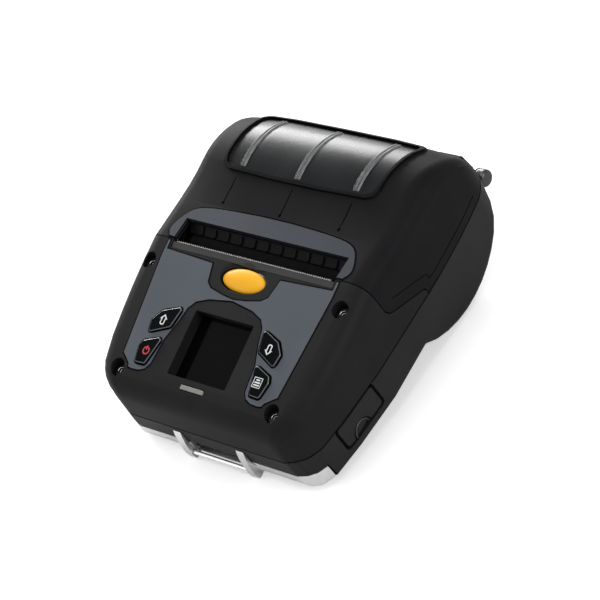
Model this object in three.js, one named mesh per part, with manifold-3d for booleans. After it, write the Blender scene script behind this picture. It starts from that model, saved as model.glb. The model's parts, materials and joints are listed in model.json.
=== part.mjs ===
// Portable receipt printer: a belt-worn printer for 80 mm paper, in millimetres.
// The model is drawn level, with its flat battery floor at height zero, +Z up and the paper slot
// facing -Y, and the whole group is then tipped so that it stands on its belly and its front lugs.
import * as THREE from "three";
import { mergeVertices } from "three/addons/utils/BufferGeometryUtils.js";
import Module from "manifold-3d";

const wasm = await Module();
wasm.setup();

// General sizes
const seatGap = 0.3; // left between pieces that touch
const slideGap = 0.4; // left round keys, flaps and covers
const overrun = 6; // how far a cut runs past the face it opens
const mergeDistance = 1e-4;
const levelShare = 0.02; // faces that lean less than this count as upright
const wall = 2.2; // moulded walls of the three shells
const skin = 1.4; // thin ribs and inner walls

// Paper: the width of the roll sets the width of everything round it
const paper = { width: 80, narrow: 58, rollRadius: 25 };
const paperEdge = paper.width / 2;

// Outer form of the closed printer, without its metal bracket
const form = {
  halfWidth: paperEdge + 17.9,
  taperStartY: -43.9,
  taperEndY: -94,
  taperDepth: 4.2,
  frontY: -102.2,
  frontLeanShare: 0.065,
  rearY: 36.3,
  lowCornerRadius: 9.5,
  highCornerRadius: 14.25,
  rearCornerRadius: 13.2,
  topEdgeRadius: 7.7,
  bottomEdgeRadius: 1.5,
  bellyEdgeRadius: 4,
  noseRadius: 12,
  heelRadius: 2.5,
};

// Side view: the sloping panel, the level lid top, the dome over the roll and the belly below it
const panelPlane = { height: 55.9, slopeShare: 0.2058 };
const seamY = -38.5; // where the lid meets the front case across the top
const lidTopZ = panelPlane.height + panelPlane.slopeShare * seamY;
const dome = { y: 6, z: 21.1, radius: 29.4, topAngle: 103, blendY: -20 };
const bellyDepth = 10; // how far the belly hangs below the flat floor
const bellyRadius = 40;
const belly = { y: -5.3, z: bellyRadius - bellyDepth, radius: bellyRadius, endZ: 18.2 };
const parting = { z: 16.3, kinkY: -18, bendY: 16, bendZ: 17.1, rearZ: 24.2 };
const seam = { footZ: 19.6, elbowZ: 29.2, topDrawShare: 0.03, elbowRadius: 5, footRadius: 1.6 };

// The lid swells a little more over the roll, most of all across its middle
const crown = { rise: 1.9, halfWidth: 49.5, power: 4, fadeAngle: 45, startY: -24, fullY: -2 };
const crownShares = [0.5, 0.8];

// Teeth of a rack, as [share of the pitch along it, share of the module off the pitch line]
const rackToothShares = [
  [0.72, -1],
  [0.4, 0],
  [0.2, 0.8],
  [-0.2, 0.8],
  [-0.4, 0],
  [-0.72, -1],
];

// Counts that set the smoothness of the outer form
const domeSteps = 12;
const bellySteps = 12;
const blendSteps = 3;
const filletSteps = 4;
const edgeSteps = 4;
const innerEdgeSteps = 2;
const panelSteps = 5;
const cornerStationShares = [0, 0.12, 0.3, 0.55, 0.8];

// Chamber that the roll lies in
const chamber = { y: 4, z: 22.6, radius: 26.4 };

// Slate overlay plate: outline points are [share of the half width, share of the length]
// of the rectangle from the slot to its front end, for the right half
const panel = {
  halfWidth: paperEdge + 6,
  rearY: -38.9,
  frontY: -92.9,
  proud: 0.15,
  bed: 1.1,
  legInnerX: paperEdge + 3.7,
  slotEdgeY: -42.6,
};
const panelOuterShares = [
  [1, 0.13],
  [0.913, 0.9],
  [0.87, 0.924],
  [0.804, 0.965],
  [0.789, 0.993],
  [0.739, 1],
  [0.652, 0.996],
  [0.587, 0.974],
  [0.543, 0.919],
  [0.522, 0.724],
  [0.457, 0.576],
  [0.424, 0.465],
  [0.37, 0.409],
  [0.248, 0.37],
];
const panelIslandTopShare = 0.339;
const panelButtonShares = [
  [0, 0.309],
  [0.13, 0.296],
  [0.287, 0.269],
  [0.341, 0.235],
  [0.385, 0.091],
];
const panelRounding = 1.5;

// Display well, display and light bar
const well = { halfWidth: 15.5, rearY: -63.6, frontY: -90.2, depth: 5, rim: 2, corner: 0.6 };
const lens = { margin: 1.4, thickness: 1.2 };
const lcd = { margin: 1, thickness: 2.6 };
const led = { halfLength: 6, rearY: -92.7, frontY: -94.4, depth: 3.6, proud: 0.15 };

// Keys: corner shares of the panel's rectangle for the two keys of the right half
const keySize = { thickness: 3.4, proud: 0.9, travel: 0.8, stemRadius: 1.6, skirt: 1, skirtDepth: 0.9 };
const upperKeyShares = [
  [0.469, 0.461],
  [0.517, 0.628],
  [0.731, 0.707],
  [0.75, 0.605],
  [0.672, 0.526],
];
const lowerKeyShares = [
  [0.542, 0.711],
  [0.61, 0.934],
  [0.728, 0.938],
  [0.758, 0.816],
  [0.736, 0.772],
];
const keySwitch = { radius: 3, height: 1 };
const keyRounding = 1.1;
const keyRoundSteps = 3;

// Release button in its oval well
const button = {
  y: -47.8,
  halfLength: 11.2,
  halfDepth: 4.9,
  crown: 1.7,
  skirt: 3.2,
  proud: 0.4,
  travel: 1,
  stemRadius: 2.2,
  stemLength: 2.2,
  wellMargin: 0.6,
  collarWall: 2,
  collarDepth: 4.6,
};
const scoop = { y: -46.9, halfLength: 12.7, halfDepth: 6.6, depth: 1.4, slope: 2 }; // finger hollow
const buttonSides = 32;

// Case screws in their round recesses, [x, y] for the right side
const screwPlaces = { front: [paperEdge + 1.5, -93], rear: [paperEdge + 11, -49.1] };
const screw = {
  headRadius: 2.75,
  headHeight: 2,
  shankRadius: 1.5,
  recessRadius: 3.5,
  recessDepth: 5.2,
  bossRadius: 4.6,
  tipZ: 5.5,
  socketRadius: 1.3,
  socketDepth: 1.2,
};
const screwSides = 16;

// Paper slot, its arch and the serrated bar
const slot = { halfWidth: paperEdge + 2.9, rearY: -28.9 };
const arch = { proud: 0.3, bed: 1.3, halfWidth: paperEdge + 8.4, depth: 18.2 };
const archSteps = 36;
const archShares = [
  [0.955, 0],
  [1, 0.2],
  [0.965, 0.5],
  [0.875, 0.79],
  [0.69, 0.92],
  [0.3, 0.985],
  [0, 1],
];
const tearBar = {
  depth: 3.2,
  height: 2.2,
  drop: 0.5,
  fall: 0.7,
  toothPitch: 1.7,
  toothDepth: 0.8,
  lip: 0.6,
};

// Print mechanism
const platenZ = lidTopZ - 10.7;
const platen = { y: -33, z: platenZ, radius: 5, shaftRadius: 2.4, halfLength: paperEdge + 1 };
const bush = { radius: 3.5, innerX: paperEdge + 1.7, outerX: paperEdge + 7.4 };
const chassis = {
  plateX: paperEdge + 3.3,
  plate: 1.5,
  frontY: -59.5,
  rearY: -29.4,
  topZ: platenZ + 3.3,
  baseZ: 17,
  baseThickness: 1.2,
  shoulderY: -44,
  shoulderZ: platenZ - 2.7,
  noseY: -36.9,
};
const gears = {
  module: 0.6,
  platenTeeth: 24,
  idlerTeeth: 20,
  pinionTeeth: 12,
  width: 3.4,
  x: paperEdge + 9.9,
};
const gearFit = { addendumShare: 0.85, dedendumShare: 1.2, tipShare: 0.2, pitchShare: 0.44, rootShare: 0.66 };
const drive = { pinionBack: 1.3, studRadius: 1.5, boreGap: 0.3 };
const motor = { radius: 6.8, length: 11.4, flange: 1, flangeReach: 3, shaftRadius: 1, hubRadius: 3 };
const head = {
  halfLength: paperEdge + 0.6,
  plate: 1,
  topZ: platenZ + 3.5,
  bottomZ: platenZ - 5.9,
  sinkDepth: 3.2,
  footZ: platenZ - 8.7,
  finDepth: 1.6,
  finPitch: 9,
};
const headLeg = { x: 24, width: 6, depth: 1.6 };
const headSpring = { x: 24, radius: 2.2, wire: 0.7, turns: 4, length: 4.6, z: platenZ - 5.3 };
const springWall = { halfWidth: 34, thickness: 1, topZ: platenZ - 2.6 };
const latch = {
  pivotY: -43,
  pivotZ: platenZ - 11.3,
  shaftRadius: 1.2,
  hubRadius: 2.4,
  hookX: paperEdge + 2.35,
  hookThickness: 1,
  hookReach: 3,
  hookFrom: 205,
  hookTo: 141,
  turn: 10,
  barDepth: 1.6,
  tabHalfWidth: 6,
  tabY: -48.8,
  tabDepth: 4,
  tabThickness: 1.4,
};

// Platen holder on the lid, with the ridged wall of the slot
const holder = {
  halfLength: paperEdge + 7.6,
  wallThickness: 2.2,
  topY: -28.4,
  bottomY: -26.2,
  topZ: lidTopZ - 2.7,
  bottomZ: platenZ - 4.3,
  noseY: -31.8,
  noseZ: platenZ + 5.7,
  armX: paperEdge + 5.5,
  armRadius: 5.6,
  ridgeCount: 11,
  ridgeWidth: 1,
  ridgeDepth: 0.7,
  ridgeRoot: 0.4,
};
const ridgeShares = { top: 0.15, bend: 0.85, foot: 1 }; // down the wall's sloping face

// Lid details
const windowFrame = {
  frontY: -2.3,
  rearY: 27.4,
  bow: 1.1,
  frontHalfWidth: paperEdge - 0.7,
  rearHalfWidth: paperEdge + 0.8,
  corner: 5,
};
const windowRim = { width: 1.5, rise: 1.3 };
const windowPane = { proud: 0.1, rib: 0.6, ribWidth: 0.8, ribSpread: 1.6, ribPitch: 30 };
const windowRibs = 3;
const lidMarks = { pitch: 30.8, rearY: -6.5, frontY: -18, width: 0.5, depth: 0.4, dot: 0.7 };
const skirtLine = { rise: 3.6, width: 0.5, depth: 0.35 };

// Hinge behind the case
const hinge = {
  y: 38.1,
  z: 13.7,
  rodRadius: 2.2,
  endRadius: 3.6,
  knuckleRadius: 3.9,
  halfLength: paperEdge + 10,
  endLength: 5,
};
const lidKnuckle = { x: 34, width: 12 };
const caseKnuckle = { x: 20.6, width: 12 };

// Metal bracket round the foot of the case, its lugs and the strap bar
const bracket = { thickness: 1.4, rearY: -94.4, topZ: 7.2, slotHalfWidth: 14.6 };
const lug = { innerX: 15, outerX: 19, tipZ: 14.2, bottomZ: -1.7, frontY: -104.7, flareX: 22, flareZ: 7.4 };
const strapBar = { y: -103.4, z: 1.7, radius: 0.9 };
const strapPocket = { halfWidth: 14.4, depth: 6, topZ: 6.8 };

// Connector flap on the right side and the sockets behind it
const flap = {
  rearY: -61.5,
  frontY: -84,
  bottomZ: 4.6,
  thickness: 1.6,
  notchY: -74.5,
  notchRadius: 4.6,
  notchDepth: 0.8,
  pinRadius: 0.8,
  openAngle: 100,
};
const usb = { y: -66.5, z: 12.6, halfWidth: 4.2, height: 4.8, depth: 9, faceX: 50.6, shell: 0.5 };
const dcJack = {
  y: -77.5,
  z: 11.4,
  size: 9,
  depth: 13,
  boreRadius: 3,
  boreDepth: 9,
  pinRadius: 1,
  faceX: 50.6,
};

// Electronics
const mainBoard = { halfWidth: form.halfWidth - 8.4, rearY: -60.6, frontY: -89.5, z: 18, thickness: 1.6 };
const panelBoard = { halfWidth: 36, rearY: -60, frontY: -91.5, thickness: 1.6, below: 1.2 };
const chips = { height: 1.4, size: 12, x: -14, pitch: 22 };

// Battery bay in the floor
const battery = { halfWidth: 29, frontY: -92.5, rearY: -43.5, height: 13, corner: 3, travel: 16 };
const bay = { wall: 1.5, roof: 1.5 };
const catchPiece = { halfWidth: 8, length: 7, thickness: 2, travel: 2.2, nose: 0.9 };
const contacts = { halfWidth: 9, depth: 3, height: 5, blade: 0.6, bladePitch: 4 };
const bladeCount = 4;

// Posts that carry the chassis and the boards
const chassisPost = { x: 22, frontY: -56.6, rearY: -31.6, radius: 1.4 };
const boardPost = { x: 25, frontY: -86, rearY: -63.5, radius: 2 };
const panelPost = { rearX: 32, rearY: -62.4, frontX: 20.4, frontY: -88.6, radius: 1.8 };

// Paper guides that close on the roll
const guide = { y: 4.5, z: 22.3, thickness: 2.4, radius: 23.5, hubRadius: 5.4, hubLength: 3 };
const guideRack = { y: -23.5, z: 2.7, module: 0.8, teeth: 8, length: 44, height: 2.4, backing: 1.4 };
const guideArm = { width: 7, angle: 227, slack: 0.8 };
const rackShelfSize = { frontY: -30, rearY: -13, halfWidth: 50 };

// Colours
const black = { color: 0x2b2b2d, roughness: 0.6, metalness: 0 };
const softBlack = { color: 0x1c1c1e, roughness: 0.7, metalness: 0 };
const slate = { color: 0x515761, roughness: 0.55, metalness: 0 };
const glossBlack = { color: 0x0b0c0d, roughness: 0.15, metalness: 0 };
const amber = { color: 0xfcb82d, roughness: 0.35, metalness: 0 };
const pale = { color: 0xbeb6b0, roughness: 0.4, metalness: 0 };
const silver = { color: 0xc8c8ca, roughness: 0.35, metalness: 0.9 };
const brightSteel = { color: 0xdadadc, roughness: 0.2, metalness: 1 };
const greyMetal = { color: 0x8a8c90, roughness: 0.3, metalness: 0.8 };
const smoky = { color: 0x4a4e50, roughness: 0.08, metalness: 0, opacity: 0.45, transparent: true };
const rubber = { color: 0x2a2a2a, roughness: 0.9, metalness: 0 };
const boardGreen = { color: 0x1f5b3a, roughness: 0.5, metalness: 0 };
const whitePlastic = { color: 0xe6e4de, roughness: 0.5, metalness: 0 };
const batteryGrey = { color: 0x3a3c40, roughness: 0.6, metalness: 0 };

const { lerp, clamp, smoothstep, degToRad, radToDeg } = THREE.MathUtils;
const point = (x, y) => new THREE.Vector2(x, y);

// Turn a closed geometry into a solid that can be cut and joined.
function solidOf(geometry) {
  const bare = geometry.index ? geometry.toNonIndexed() : geometry.clone();
  bare.deleteAttribute("normal");
  bare.deleteAttribute("uv");
  const merged = mergeVertices(bare, mergeDistance);
  return new wasm.Manifold(
    new wasm.Mesh({
      numProp: 3,
      vertProperties: merged.attributes.position.array,
      triVerts: new Uint32Array(merged.index.array),
    }),
  );
}

function geometryOf(solid) {
  const mesh = solid.getMesh();
  const geometry = new THREE.BufferGeometry();
  geometry.setAttribute("position", new THREE.BufferAttribute(mesh.vertProperties, mesh.numProp));
  geometry.setIndex(new THREE.BufferAttribute(mesh.triVerts, 1));
  geometry.computeVertexNormals();
  return geometry;
}

// Round the corners of an outline; radii holds one radius, or one for each corner.
function rounded(outline, radii, steps = filletSteps) {
  const out = [];
  outline.forEach((corner, i) => {
    const radius = Array.isArray(radii) ? radii[i] : radii;
    const before = outline[(i + outline.length - 1) % outline.length];
    const after = outline[(i + 1) % outline.length];
    out.push(...cornerArc(before, corner, after, radius, steps));
  });
  return out;
}

function cornerArc(before, corner, after, radius, steps) {
  const toBefore = before.clone().sub(corner);
  const toAfter = after.clone().sub(corner);
  const halfAngle = Math.acos(clamp(toBefore.dot(toAfter) / toBefore.length() / toAfter.length(), -1, 1)) / 2;
  const reach = Math.min(radius / Math.tan(halfAngle), toBefore.length() / 2, toAfter.length() / 2);
  if (radius === 0 || Math.PI / 2 - halfAngle < mergeDistance) return [corner.clone()];
  const fitted = reach * Math.tan(halfAngle);
  const start = corner.clone().add(toBefore.setLength(reach));
  const end = corner.clone().add(toAfter.setLength(reach));
  const middle = start.clone().add(end).multiplyScalar(1 / 2);
  const centre = corner.clone().add(middle.sub(corner).setLength(fitted / Math.sin(halfAngle)));
  const first = start.clone().sub(centre).angle();
  let sweep = end.clone().sub(centre).angle() - first;
  if (sweep > Math.PI) sweep -= 2 * Math.PI;
  if (sweep < -Math.PI) sweep += 2 * Math.PI;
  const arc = [];
  for (let k = 0; k <= steps; k++) {
    const angle = first + (sweep * k) / steps;
    arc.push(centre.clone().add(point(Math.cos(angle), Math.sin(angle)).multiplyScalar(fitted)));
  }
  return arc;
}

// A prism: the outline's two axes and the direction of extrusion are given as a basis matrix.
function prism(outline, low, high, basis) {
  const geometry = new THREE.ExtrudeGeometry(new THREE.Shape(outline), {
    depth: high - low,
    bevelEnabled: false,
  });
  geometry.translate(0, 0, low);
  return solidOf(geometry.applyMatrix4(basis));
}

const axisX = new THREE.Vector3(1, 0, 0);
const axisY = new THREE.Vector3(0, 1, 0);
const axisZ = new THREE.Vector3(0, 0, 1);
const alongX = new THREE.Matrix4().makeBasis(axisY, axisZ, axisX); // outline in Y and Z
const alongZ = new THREE.Matrix4(); // outline in X and Y
const alongY = new THREE.Matrix4().makeBasis(axisZ, axisX, axisY); // outline in Z and X

// The panel frame: x across, v along the slope, n off the plane.
const slopeAngle = Math.atan(panelPlane.slopeShare);
const onPanel = new THREE.Matrix4()
  .makeTranslation(0, 0, panelPlane.height)
  .multiply(new THREE.Matrix4().makeRotationX(slopeAngle));
const slopeV = (y) => y / Math.cos(slopeAngle);
const panelZ = (y) => panelPlane.height + panelPlane.slopeShare * y;

function box(x0, x1, y0, y1, z0, z1) {
  const geometry = new THREE.BoxGeometry(x1 - x0, y1 - y0, z1 - z0);
  geometry.translate((x0 + x1) / 2, (y0 + y1) / 2, (z0 + z1) / 2);
  return solidOf(geometry);
}

// A box that is as wide to the left as to the right.
const midBox = (halfWidth, y0, y1, z0, z1) => box(-halfWidth, halfWidth, y0, y1, z0, z1);

function roundX(radius, x0, x1, y, z, sides = buttonSides) {
  const geometry = new THREE.CylinderGeometry(radius, radius, x1 - x0, sides);
  geometry.rotateZ(Math.PI / 2);
  geometry.translate((x0 + x1) / 2, y, z);
  return solidOf(geometry);
}

function roundZ(radius, z0, z1, x, y, sides = screwSides) {
  const geometry = new THREE.CylinderGeometry(radius, radius, z1 - z0, sides);
  geometry.rotateX(Math.PI / 2);
  geometry.translate(x, y, (z0 + z1) / 2);
  return solidOf(geometry);
}

function roundOnPanel(radius, n0, n1, x, y, sides = screwSides, stretch = 1) {
  const geometry = new THREE.CylinderGeometry(radius, radius, n1 - n0, sides);
  geometry.rotateX(Math.PI / 2);
  geometry.scale(stretch, 1, 1);
  geometry.translate(x, slopeV(y), (n0 + n1) / 2);
  return solidOf(geometry.applyMatrix4(onPanel));
}

const postOnPanel = (radius, n0, n1, x, y) => roundOnPanel(radius, n0, n1, x, y, 12);

const panelPrism = (outline, n0, n1) =>
  prism(
    outline.map((p) => point(p.x, slopeV(p.y))),
    n0,
    n1,
    onPanel,
  );

const mirrored = (solid) => solid.mirror([1, 0, 0]);
const bothSides = (solid) => solid.add(mirrored(solid));
const joined = (solids) => solids.reduce((all, next) => all.add(next));
const polar = (y, z, radius, degrees) =>
  point(y + radius * Math.cos(degToRad(degrees)), z + radius * Math.sin(degToRad(degrees)));

// The outer form, seen from the side

// Height of the line where the upper and lower shells meet, as outline points from front to rear.
const partingCurve = new THREE.QuadraticBezierCurve(
  point(parting.kinkY, parting.z),
  point(parting.bendY, parting.bendZ),
  point(form.rearY, parting.rearZ),
);

function partingLine(raise) {
  const points = partingCurve.getPoints(blendSteps + filletSteps).map((p) => point(p.x, p.y + raise));
  return [
    point(form.frontY - overrun, parting.z + raise),
    ...points,
    point(form.rearY + overrun, parting.rearZ + raise),
  ];
}

const frontFaceY = (z) => form.frontY + form.frontLeanShare * Math.max(0, z - parting.z);

// The closed outline of the side view, from the rear up over the lid, down the nose and back below.
function sideOutline() {
  const outline = [];
  for (let k = 0; k <= domeSteps; k++)
    outline.push(polar(dome.y, dome.z, dome.radius, (dome.topAngle * k) / domeSteps));
  const crest = outline[outline.length - 1];
  const fall = Math.tan(degToRad(dome.topAngle) - Math.PI / 2);
  const bend = point(crest.x - (crest.y - lidTopZ) / fall, lidTopZ);
  const blend = new THREE.QuadraticBezierCurve(crest, bend, point(dome.blendY, lidTopZ));
  outline.push(...blend.getPoints(blendSteps).slice(1));
  const noseZ =
    (panelPlane.height + panelPlane.slopeShare * (form.frontY - form.frontLeanShare * parting.z)) /
    (1 - panelPlane.slopeShare * form.frontLeanShare);
  const nose = point(frontFaceY(noseZ), noseZ);
  const seamPoint = point(seamY, panelZ(seamY));
  const noseArc = cornerArc(seamPoint, nose, point(form.frontY, parting.z), form.noseRadius, filletSteps);
  for (let k = 0; k < panelSteps; k++) outline.push(seamPoint.clone().lerp(noseArc[0], k / panelSteps));
  outline.push(...noseArc);
  outline.push(point(form.frontY, parting.z));
  const bellyStart = -Math.sqrt(belly.radius ** 2 - belly.z ** 2);
  const breakPoint = point(belly.y + bellyStart, 0);
  outline.push(
    ...cornerArc(point(form.frontY, parting.z), point(form.frontY, 0), breakPoint, form.heelRadius, 2),
  );
  cornerStationShares
    .slice(1)
    .forEach((share) =>
      outline.push(point(lerp(form.frontY + form.heelRadius, breakPoint.x, share ** 2), 0)),
    );
  const first = Math.atan2(-belly.z, bellyStart);
  const last = Math.asin((belly.endZ - belly.z) / belly.radius);
  for (let k = 0; k <= bellySteps; k++) {
    const angle = first + ((last - first) * k) / bellySteps;
    outline.push(point(belly.y + belly.radius * Math.cos(angle), belly.z + belly.radius * Math.sin(angle)));
  }
  return outline;
}

const cornerCut = (distance, radius) =>
  distance >= radius ? 0 : radius - Math.sqrt(radius ** 2 - (radius - Math.max(distance, 0)) ** 2);

// Half width of the plan at a height, drawn in by an inset for the inner faces.
function planHalfWidth(y, z, inset) {
  const along = Math.max(0, (form.taperStartY - y) / (form.taperStartY - form.taperEndY));
  const frontRadius = lerp(form.lowCornerRadius, form.highCornerRadius, clamp(z / panelZ(form.frontY), 0, 1));
  const shoulder = Math.min(z, panelZ(form.frontY));
  const front = cornerCut(y - frontFaceY(shoulder) - inset, frontRadius - inset);
  const rear = cornerCut(form.rearY - inset - y, form.rearCornerRadius - inset);
  return form.halfWidth - form.taperDepth * along ** 2 - inset - front - rear;
}

// How much of the lid's extra swell a point of the side view takes.
function crownAt(p) {
  const angle = radToDeg(Math.atan2(p.y - dome.z, p.x - dome.y));
  if (angle <= 0 || angle > dome.topAngle + crown.fadeAngle) return 0;
  return smoothstep(angle, 0, crown.fadeAngle) * smoothstep(p.x, crown.startY, crown.fullY);
}

// The whole closed form as one solid, with every face drawn in by an inset; the shares place
// the stations across a crowned lid.
function outerForm(inset, steps, shares = []) {
  const outline = sideOutline();
  const count = outline.length;
  const normals = outline.map((p, i) => {
    const before = outline[(i + count - 1) % count];
    const after = outline[(i + 1) % count];
    const way = after.clone().sub(before);
    return point(way.y, -way.x).normalize();
  });
  const edgeRadius = (p, normal) => {
    if (Math.abs(normal.y) < levelShare) return 0;
    if (normal.y >= 0) return Math.max(0, form.topEdgeRadius * normal.y - inset);
    const low = p.x < belly.y - belly.radius * Math.sin(Math.PI / 4) - form.bellyEdgeRadius;
    return Math.max(0, (low ? form.bottomEdgeRadius : form.bellyEdgeRadius) * -normal.y - inset);
  };
  const ring = (turn, side) =>
    outline.map((p, i) => {
      const radius = edgeRadius(p, normals[i]);
      const drawn = inset + radius * (1 - Math.cos(turn));
      const q = p.clone().sub(normals[i].clone().multiplyScalar(drawn));
      const x = planHalfWidth(q.x, q.y, inset) - radius * (1 - Math.sin(turn));
      return new THREE.Vector3(side * x, q.x, q.y);
    });
  const crowned = (share) =>
    ring(0, share).map((p, i) => {
      const rise = crown.rise * crownAt(outline[i]) * (1 - Math.abs(p.x / crown.halfWidth) ** crown.power);
      return p.add(new THREE.Vector3(0, normals[i].x * rise, normals[i].y * rise));
    });
  const rings = [];
  for (let k = 0; k <= steps; k++) rings.push(ring((Math.PI / 2) * (1 - k / steps), -1));
  for (const share of [...shares].reverse()) rings.push(crowned(-share));
  if (shares.length > 0) rings.push(crowned(0));
  for (const share of shares) rings.push(crowned(share));
  for (let k = 0; k <= steps; k++) rings.push(ring(((Math.PI / 2) * k) / steps, 1));
  return solidOf(loft(rings));
}

// Join rings of points into a closed skin; each end is closed by strips between its upper and
// lower edges, so that the end follows the plan.
function loft(rings) {
  const count = rings[0].length;
  const corners = [];
  const apart = (a, b) => a.distanceTo(b) > mergeDistance;
  const face = (a, b, c) => {
    if (apart(a, b) && apart(b, c) && apart(c, a)) corners.push(...a, ...c, ...b);
  };
  for (let r = 0; r + 1 < rings.length; r++)
    for (let i = 0; i < count; i++) {
      const j = (i + 1) % count;
      face(rings[r][i], rings[r + 1][i], rings[r + 1][j]);
      face(rings[r][i], rings[r + 1][j], rings[r][j]);
    }
  const closeEnd = (ring, flip) => {
    let front = 0;
    ring.forEach((p, i) => {
      if (p.y < ring[front].y) front = i;
    });
    let up = front;
    let down = front;
    for (let left = count - 1; left > 0; left--) {
      const nextUp = (up + count - 1) % count;
      const nextDown = (down + 1) % count;
      const climb = ring[nextUp].y < ring[nextDown].y;
      const tip = climb ? nextUp : nextDown;
      if (flip) face(ring[up], ring[tip], ring[down]);
      else face(ring[up], ring[down], ring[tip]);
      if (climb) up = nextUp;
      else down = nextDown;
    }
  };
  closeEnd(rings[0], false);
  closeEnd(rings[rings.length - 1], true);
  const geometry = new THREE.BufferGeometry();
  geometry.setAttribute("position", new THREE.Float32BufferAttribute(corners, 3));
  return geometry;
}

const outside = outerForm(0, edgeSteps);
const inside = outerForm(wall, innerEdgeSteps);
const lidForm = (inset) => outerForm(inset, inset > 0 ? innerEdgeSteps : edgeSteps, crownShares);
const lidInside = lidForm(wall);

// Regions that share the form between its three shells
const farZ = dome.z + dome.radius + overrun;
const deepZ = belly.z - belly.radius - overrun;
const farX = form.halfWidth + overrun;

function belowParting(drop) {
  const line = partingLine(-drop);
  return prism(
    [...line, point(form.rearY + overrun, deepZ), point(form.frontY - overrun, deepZ)].reverse(),
    -farX,
    farX,
    alongX,
  );
}

// Everything behind the seam of the lid, from a rise over the parting line up.
function lidRegion(rise, gap) {
  const curve = partingCurve.getPoints(blendSteps + filletSteps).slice(1);
  const foot = [
    point(parting.kinkY + gap, parting.z - overrun),
    point(parting.kinkY + gap, seam.footZ + gap),
    point(seamY + seam.topDrawShare * (lidTopZ - seam.elbowZ) + gap, seam.elbowZ + gap),
    point(seamY + gap, farZ),
  ];
  const bent = rounded(foot, [0, seam.footRadius, seam.elbowRadius, 0]);
  const back = [point(form.rearY + overrun, farZ), point(form.rearY + overrun, parting.z - overrun)];
  const above = prism([...bent, ...back].reverse(), -farX, farX, alongX);
  const rim = [
    point(form.frontY - overrun, parting.z + rise),
    ...curve.map((p) => point(p.x, p.y + rise)),
    point(form.rearY + overrun, parting.rearZ + rise),
    point(form.rearY + overrun, farZ),
    point(form.frontY - overrun, farZ),
  ];
  return above.intersect(prism(rim, -farX, farX, alongX));
}

const lidZone = lidRegion(seatGap, 0);
const lidZoneWide = lidRegion(-overrun, -slideGap);

// Screws and their bosses
const screwList = [
  { name: "case_screw_front_left", x: -screwPlaces.front[0], y: screwPlaces.front[1] },
  { name: "case_screw_front_right", x: screwPlaces.front[0], y: screwPlaces.front[1] },
  { name: "case_screw_rear_left", x: -screwPlaces.rear[0], y: screwPlaces.rear[1] },
  { name: "case_screw_rear_right", x: screwPlaces.rear[0], y: screwPlaces.rear[1] },
];
const screwSeatZ = (place) => panelZ(place.y) - screw.recessDepth;

function caseScrew(place) {
  const seat = screwSeatZ(place) + seatGap;
  const headTop = seat + screw.headHeight;
  const shank = roundZ(screw.shankRadius, screw.tipZ, seat, place.x, place.y);
  const socketZ = headTop - screw.socketDepth;
  const socket = roundZ(screw.socketRadius, socketZ, headTop + overrun, place.x, place.y, 6);
  return roundZ(screw.headRadius, seat, headTop, place.x, place.y).add(shank).subtract(socket);
}

const shankHole = (place, z0, z1) => roundZ(screw.shankRadius + seatGap, z0, z1, place.x, place.y);

// Lower shell

const bayTopZ = battery.height + seatGap + bay.roof;
const bayOuterX = battery.halfWidth + seatGap + bay.wall;
const bayFrontY = battery.frontY - seatGap;
const bayRearY = battery.rearY + seatGap;

function bottomCase() {
  let shell = outside.subtract(inside).intersect(belowParting(0));
  shell = shell.add(insideBlock(troughWall()).intersect(belowParting(0)));
  shell = shell.add(insideBlock(rackShelf())).add(insideBlock(pocketLining()));
  shell = shell.add(midBox(bayOuterX, bayFrontY - bay.wall, bayRearY + bay.wall, wall / 2, bayTopZ));
  for (const place of screwList) {
    const post = roundZ(screw.bossRadius, wall / 2, parting.z - seatGap, place.x, place.y, 20);
    shell = shell.add(post.intersect(outside)).subtract(shankHole(place, screw.tipZ - seatGap, farZ));
  }
  for (const x of [-chassisPost.x, chassisPost.x]) {
    for (const y of [chassisPost.frontY, chassisPost.rearY])
      shell = shell.add(roundZ(chassisPost.radius, 0, chassis.baseZ - seatGap, x, y, 12));
    for (const y of [boardPost.frontY, boardPost.rearY]) {
      const side = Math.sign(x) * boardPost.x;
      shell = shell.add(roundZ(boardPost.radius, bayTopZ - skin, mainBoard.z - seatGap, side, y, 12));
    }
  }
  shell = shell.add(guideStud());
  shell = shell.subtract(bayRoom()).subtract(bracketRoom()).subtract(flapRoom());
  shell = shell.add(caseKnuckles()).subtract(hingeBore());
  return shell.subtract(catchRoom());
}

const farY = form.rearY + overrun;
const insideBlock = (solid) => solid.intersect(outside);

// The curved wall between the roll and the front of the case, with slots for the guides' arms.
function troughWall() {
  const outer = chamber.radius + skin;
  const ring = roundX(outer, -farX, farX, chamber.y, chamber.z, 56).subtract(
    roundX(chamber.radius, -farX, farX, chamber.y, chamber.z, 56),
  );
  const half = box(-farX, farX, -farY, chamber.y - chamber.radius / 2, deepZ, farZ);
  return ring.intersect(half).subtract(guideSlots());
}

function bayRoom() {
  const outline = rounded(
    [
      point(-battery.halfWidth - seatGap, bayFrontY),
      point(battery.halfWidth + seatGap, bayFrontY),
      point(battery.halfWidth + seatGap, bayRearY),
      point(-battery.halfWidth - seatGap, bayRearY),
    ],
    battery.corner,
    2,
  );
  return prism(outline, -overrun, battery.height + seatGap, alongZ);
}

function batteryPack() {
  const outline = rounded(
    [
      point(-battery.halfWidth, battery.frontY),
      point(battery.halfWidth, battery.frontY),
      point(battery.halfWidth, battery.rearY),
      point(-battery.halfWidth, battery.rearY),
    ],
    battery.corner - seatGap,
    2,
  );
  const pack = prism(outline, 0, battery.height, alongZ);
  const groove = midBox(
    battery.halfWidth / 2,
    battery.rearY - catchPiece.length,
    battery.rearY - catchPiece.length + skin,
    -overrun,
    skin / 2,
  );
  return pack.subtract(groove).subtract(contactRoom());
}

// Battery terminals hang from the bay's roof into a notch of the pack.
const contactY = battery.frontY + contacts.depth;

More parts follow.
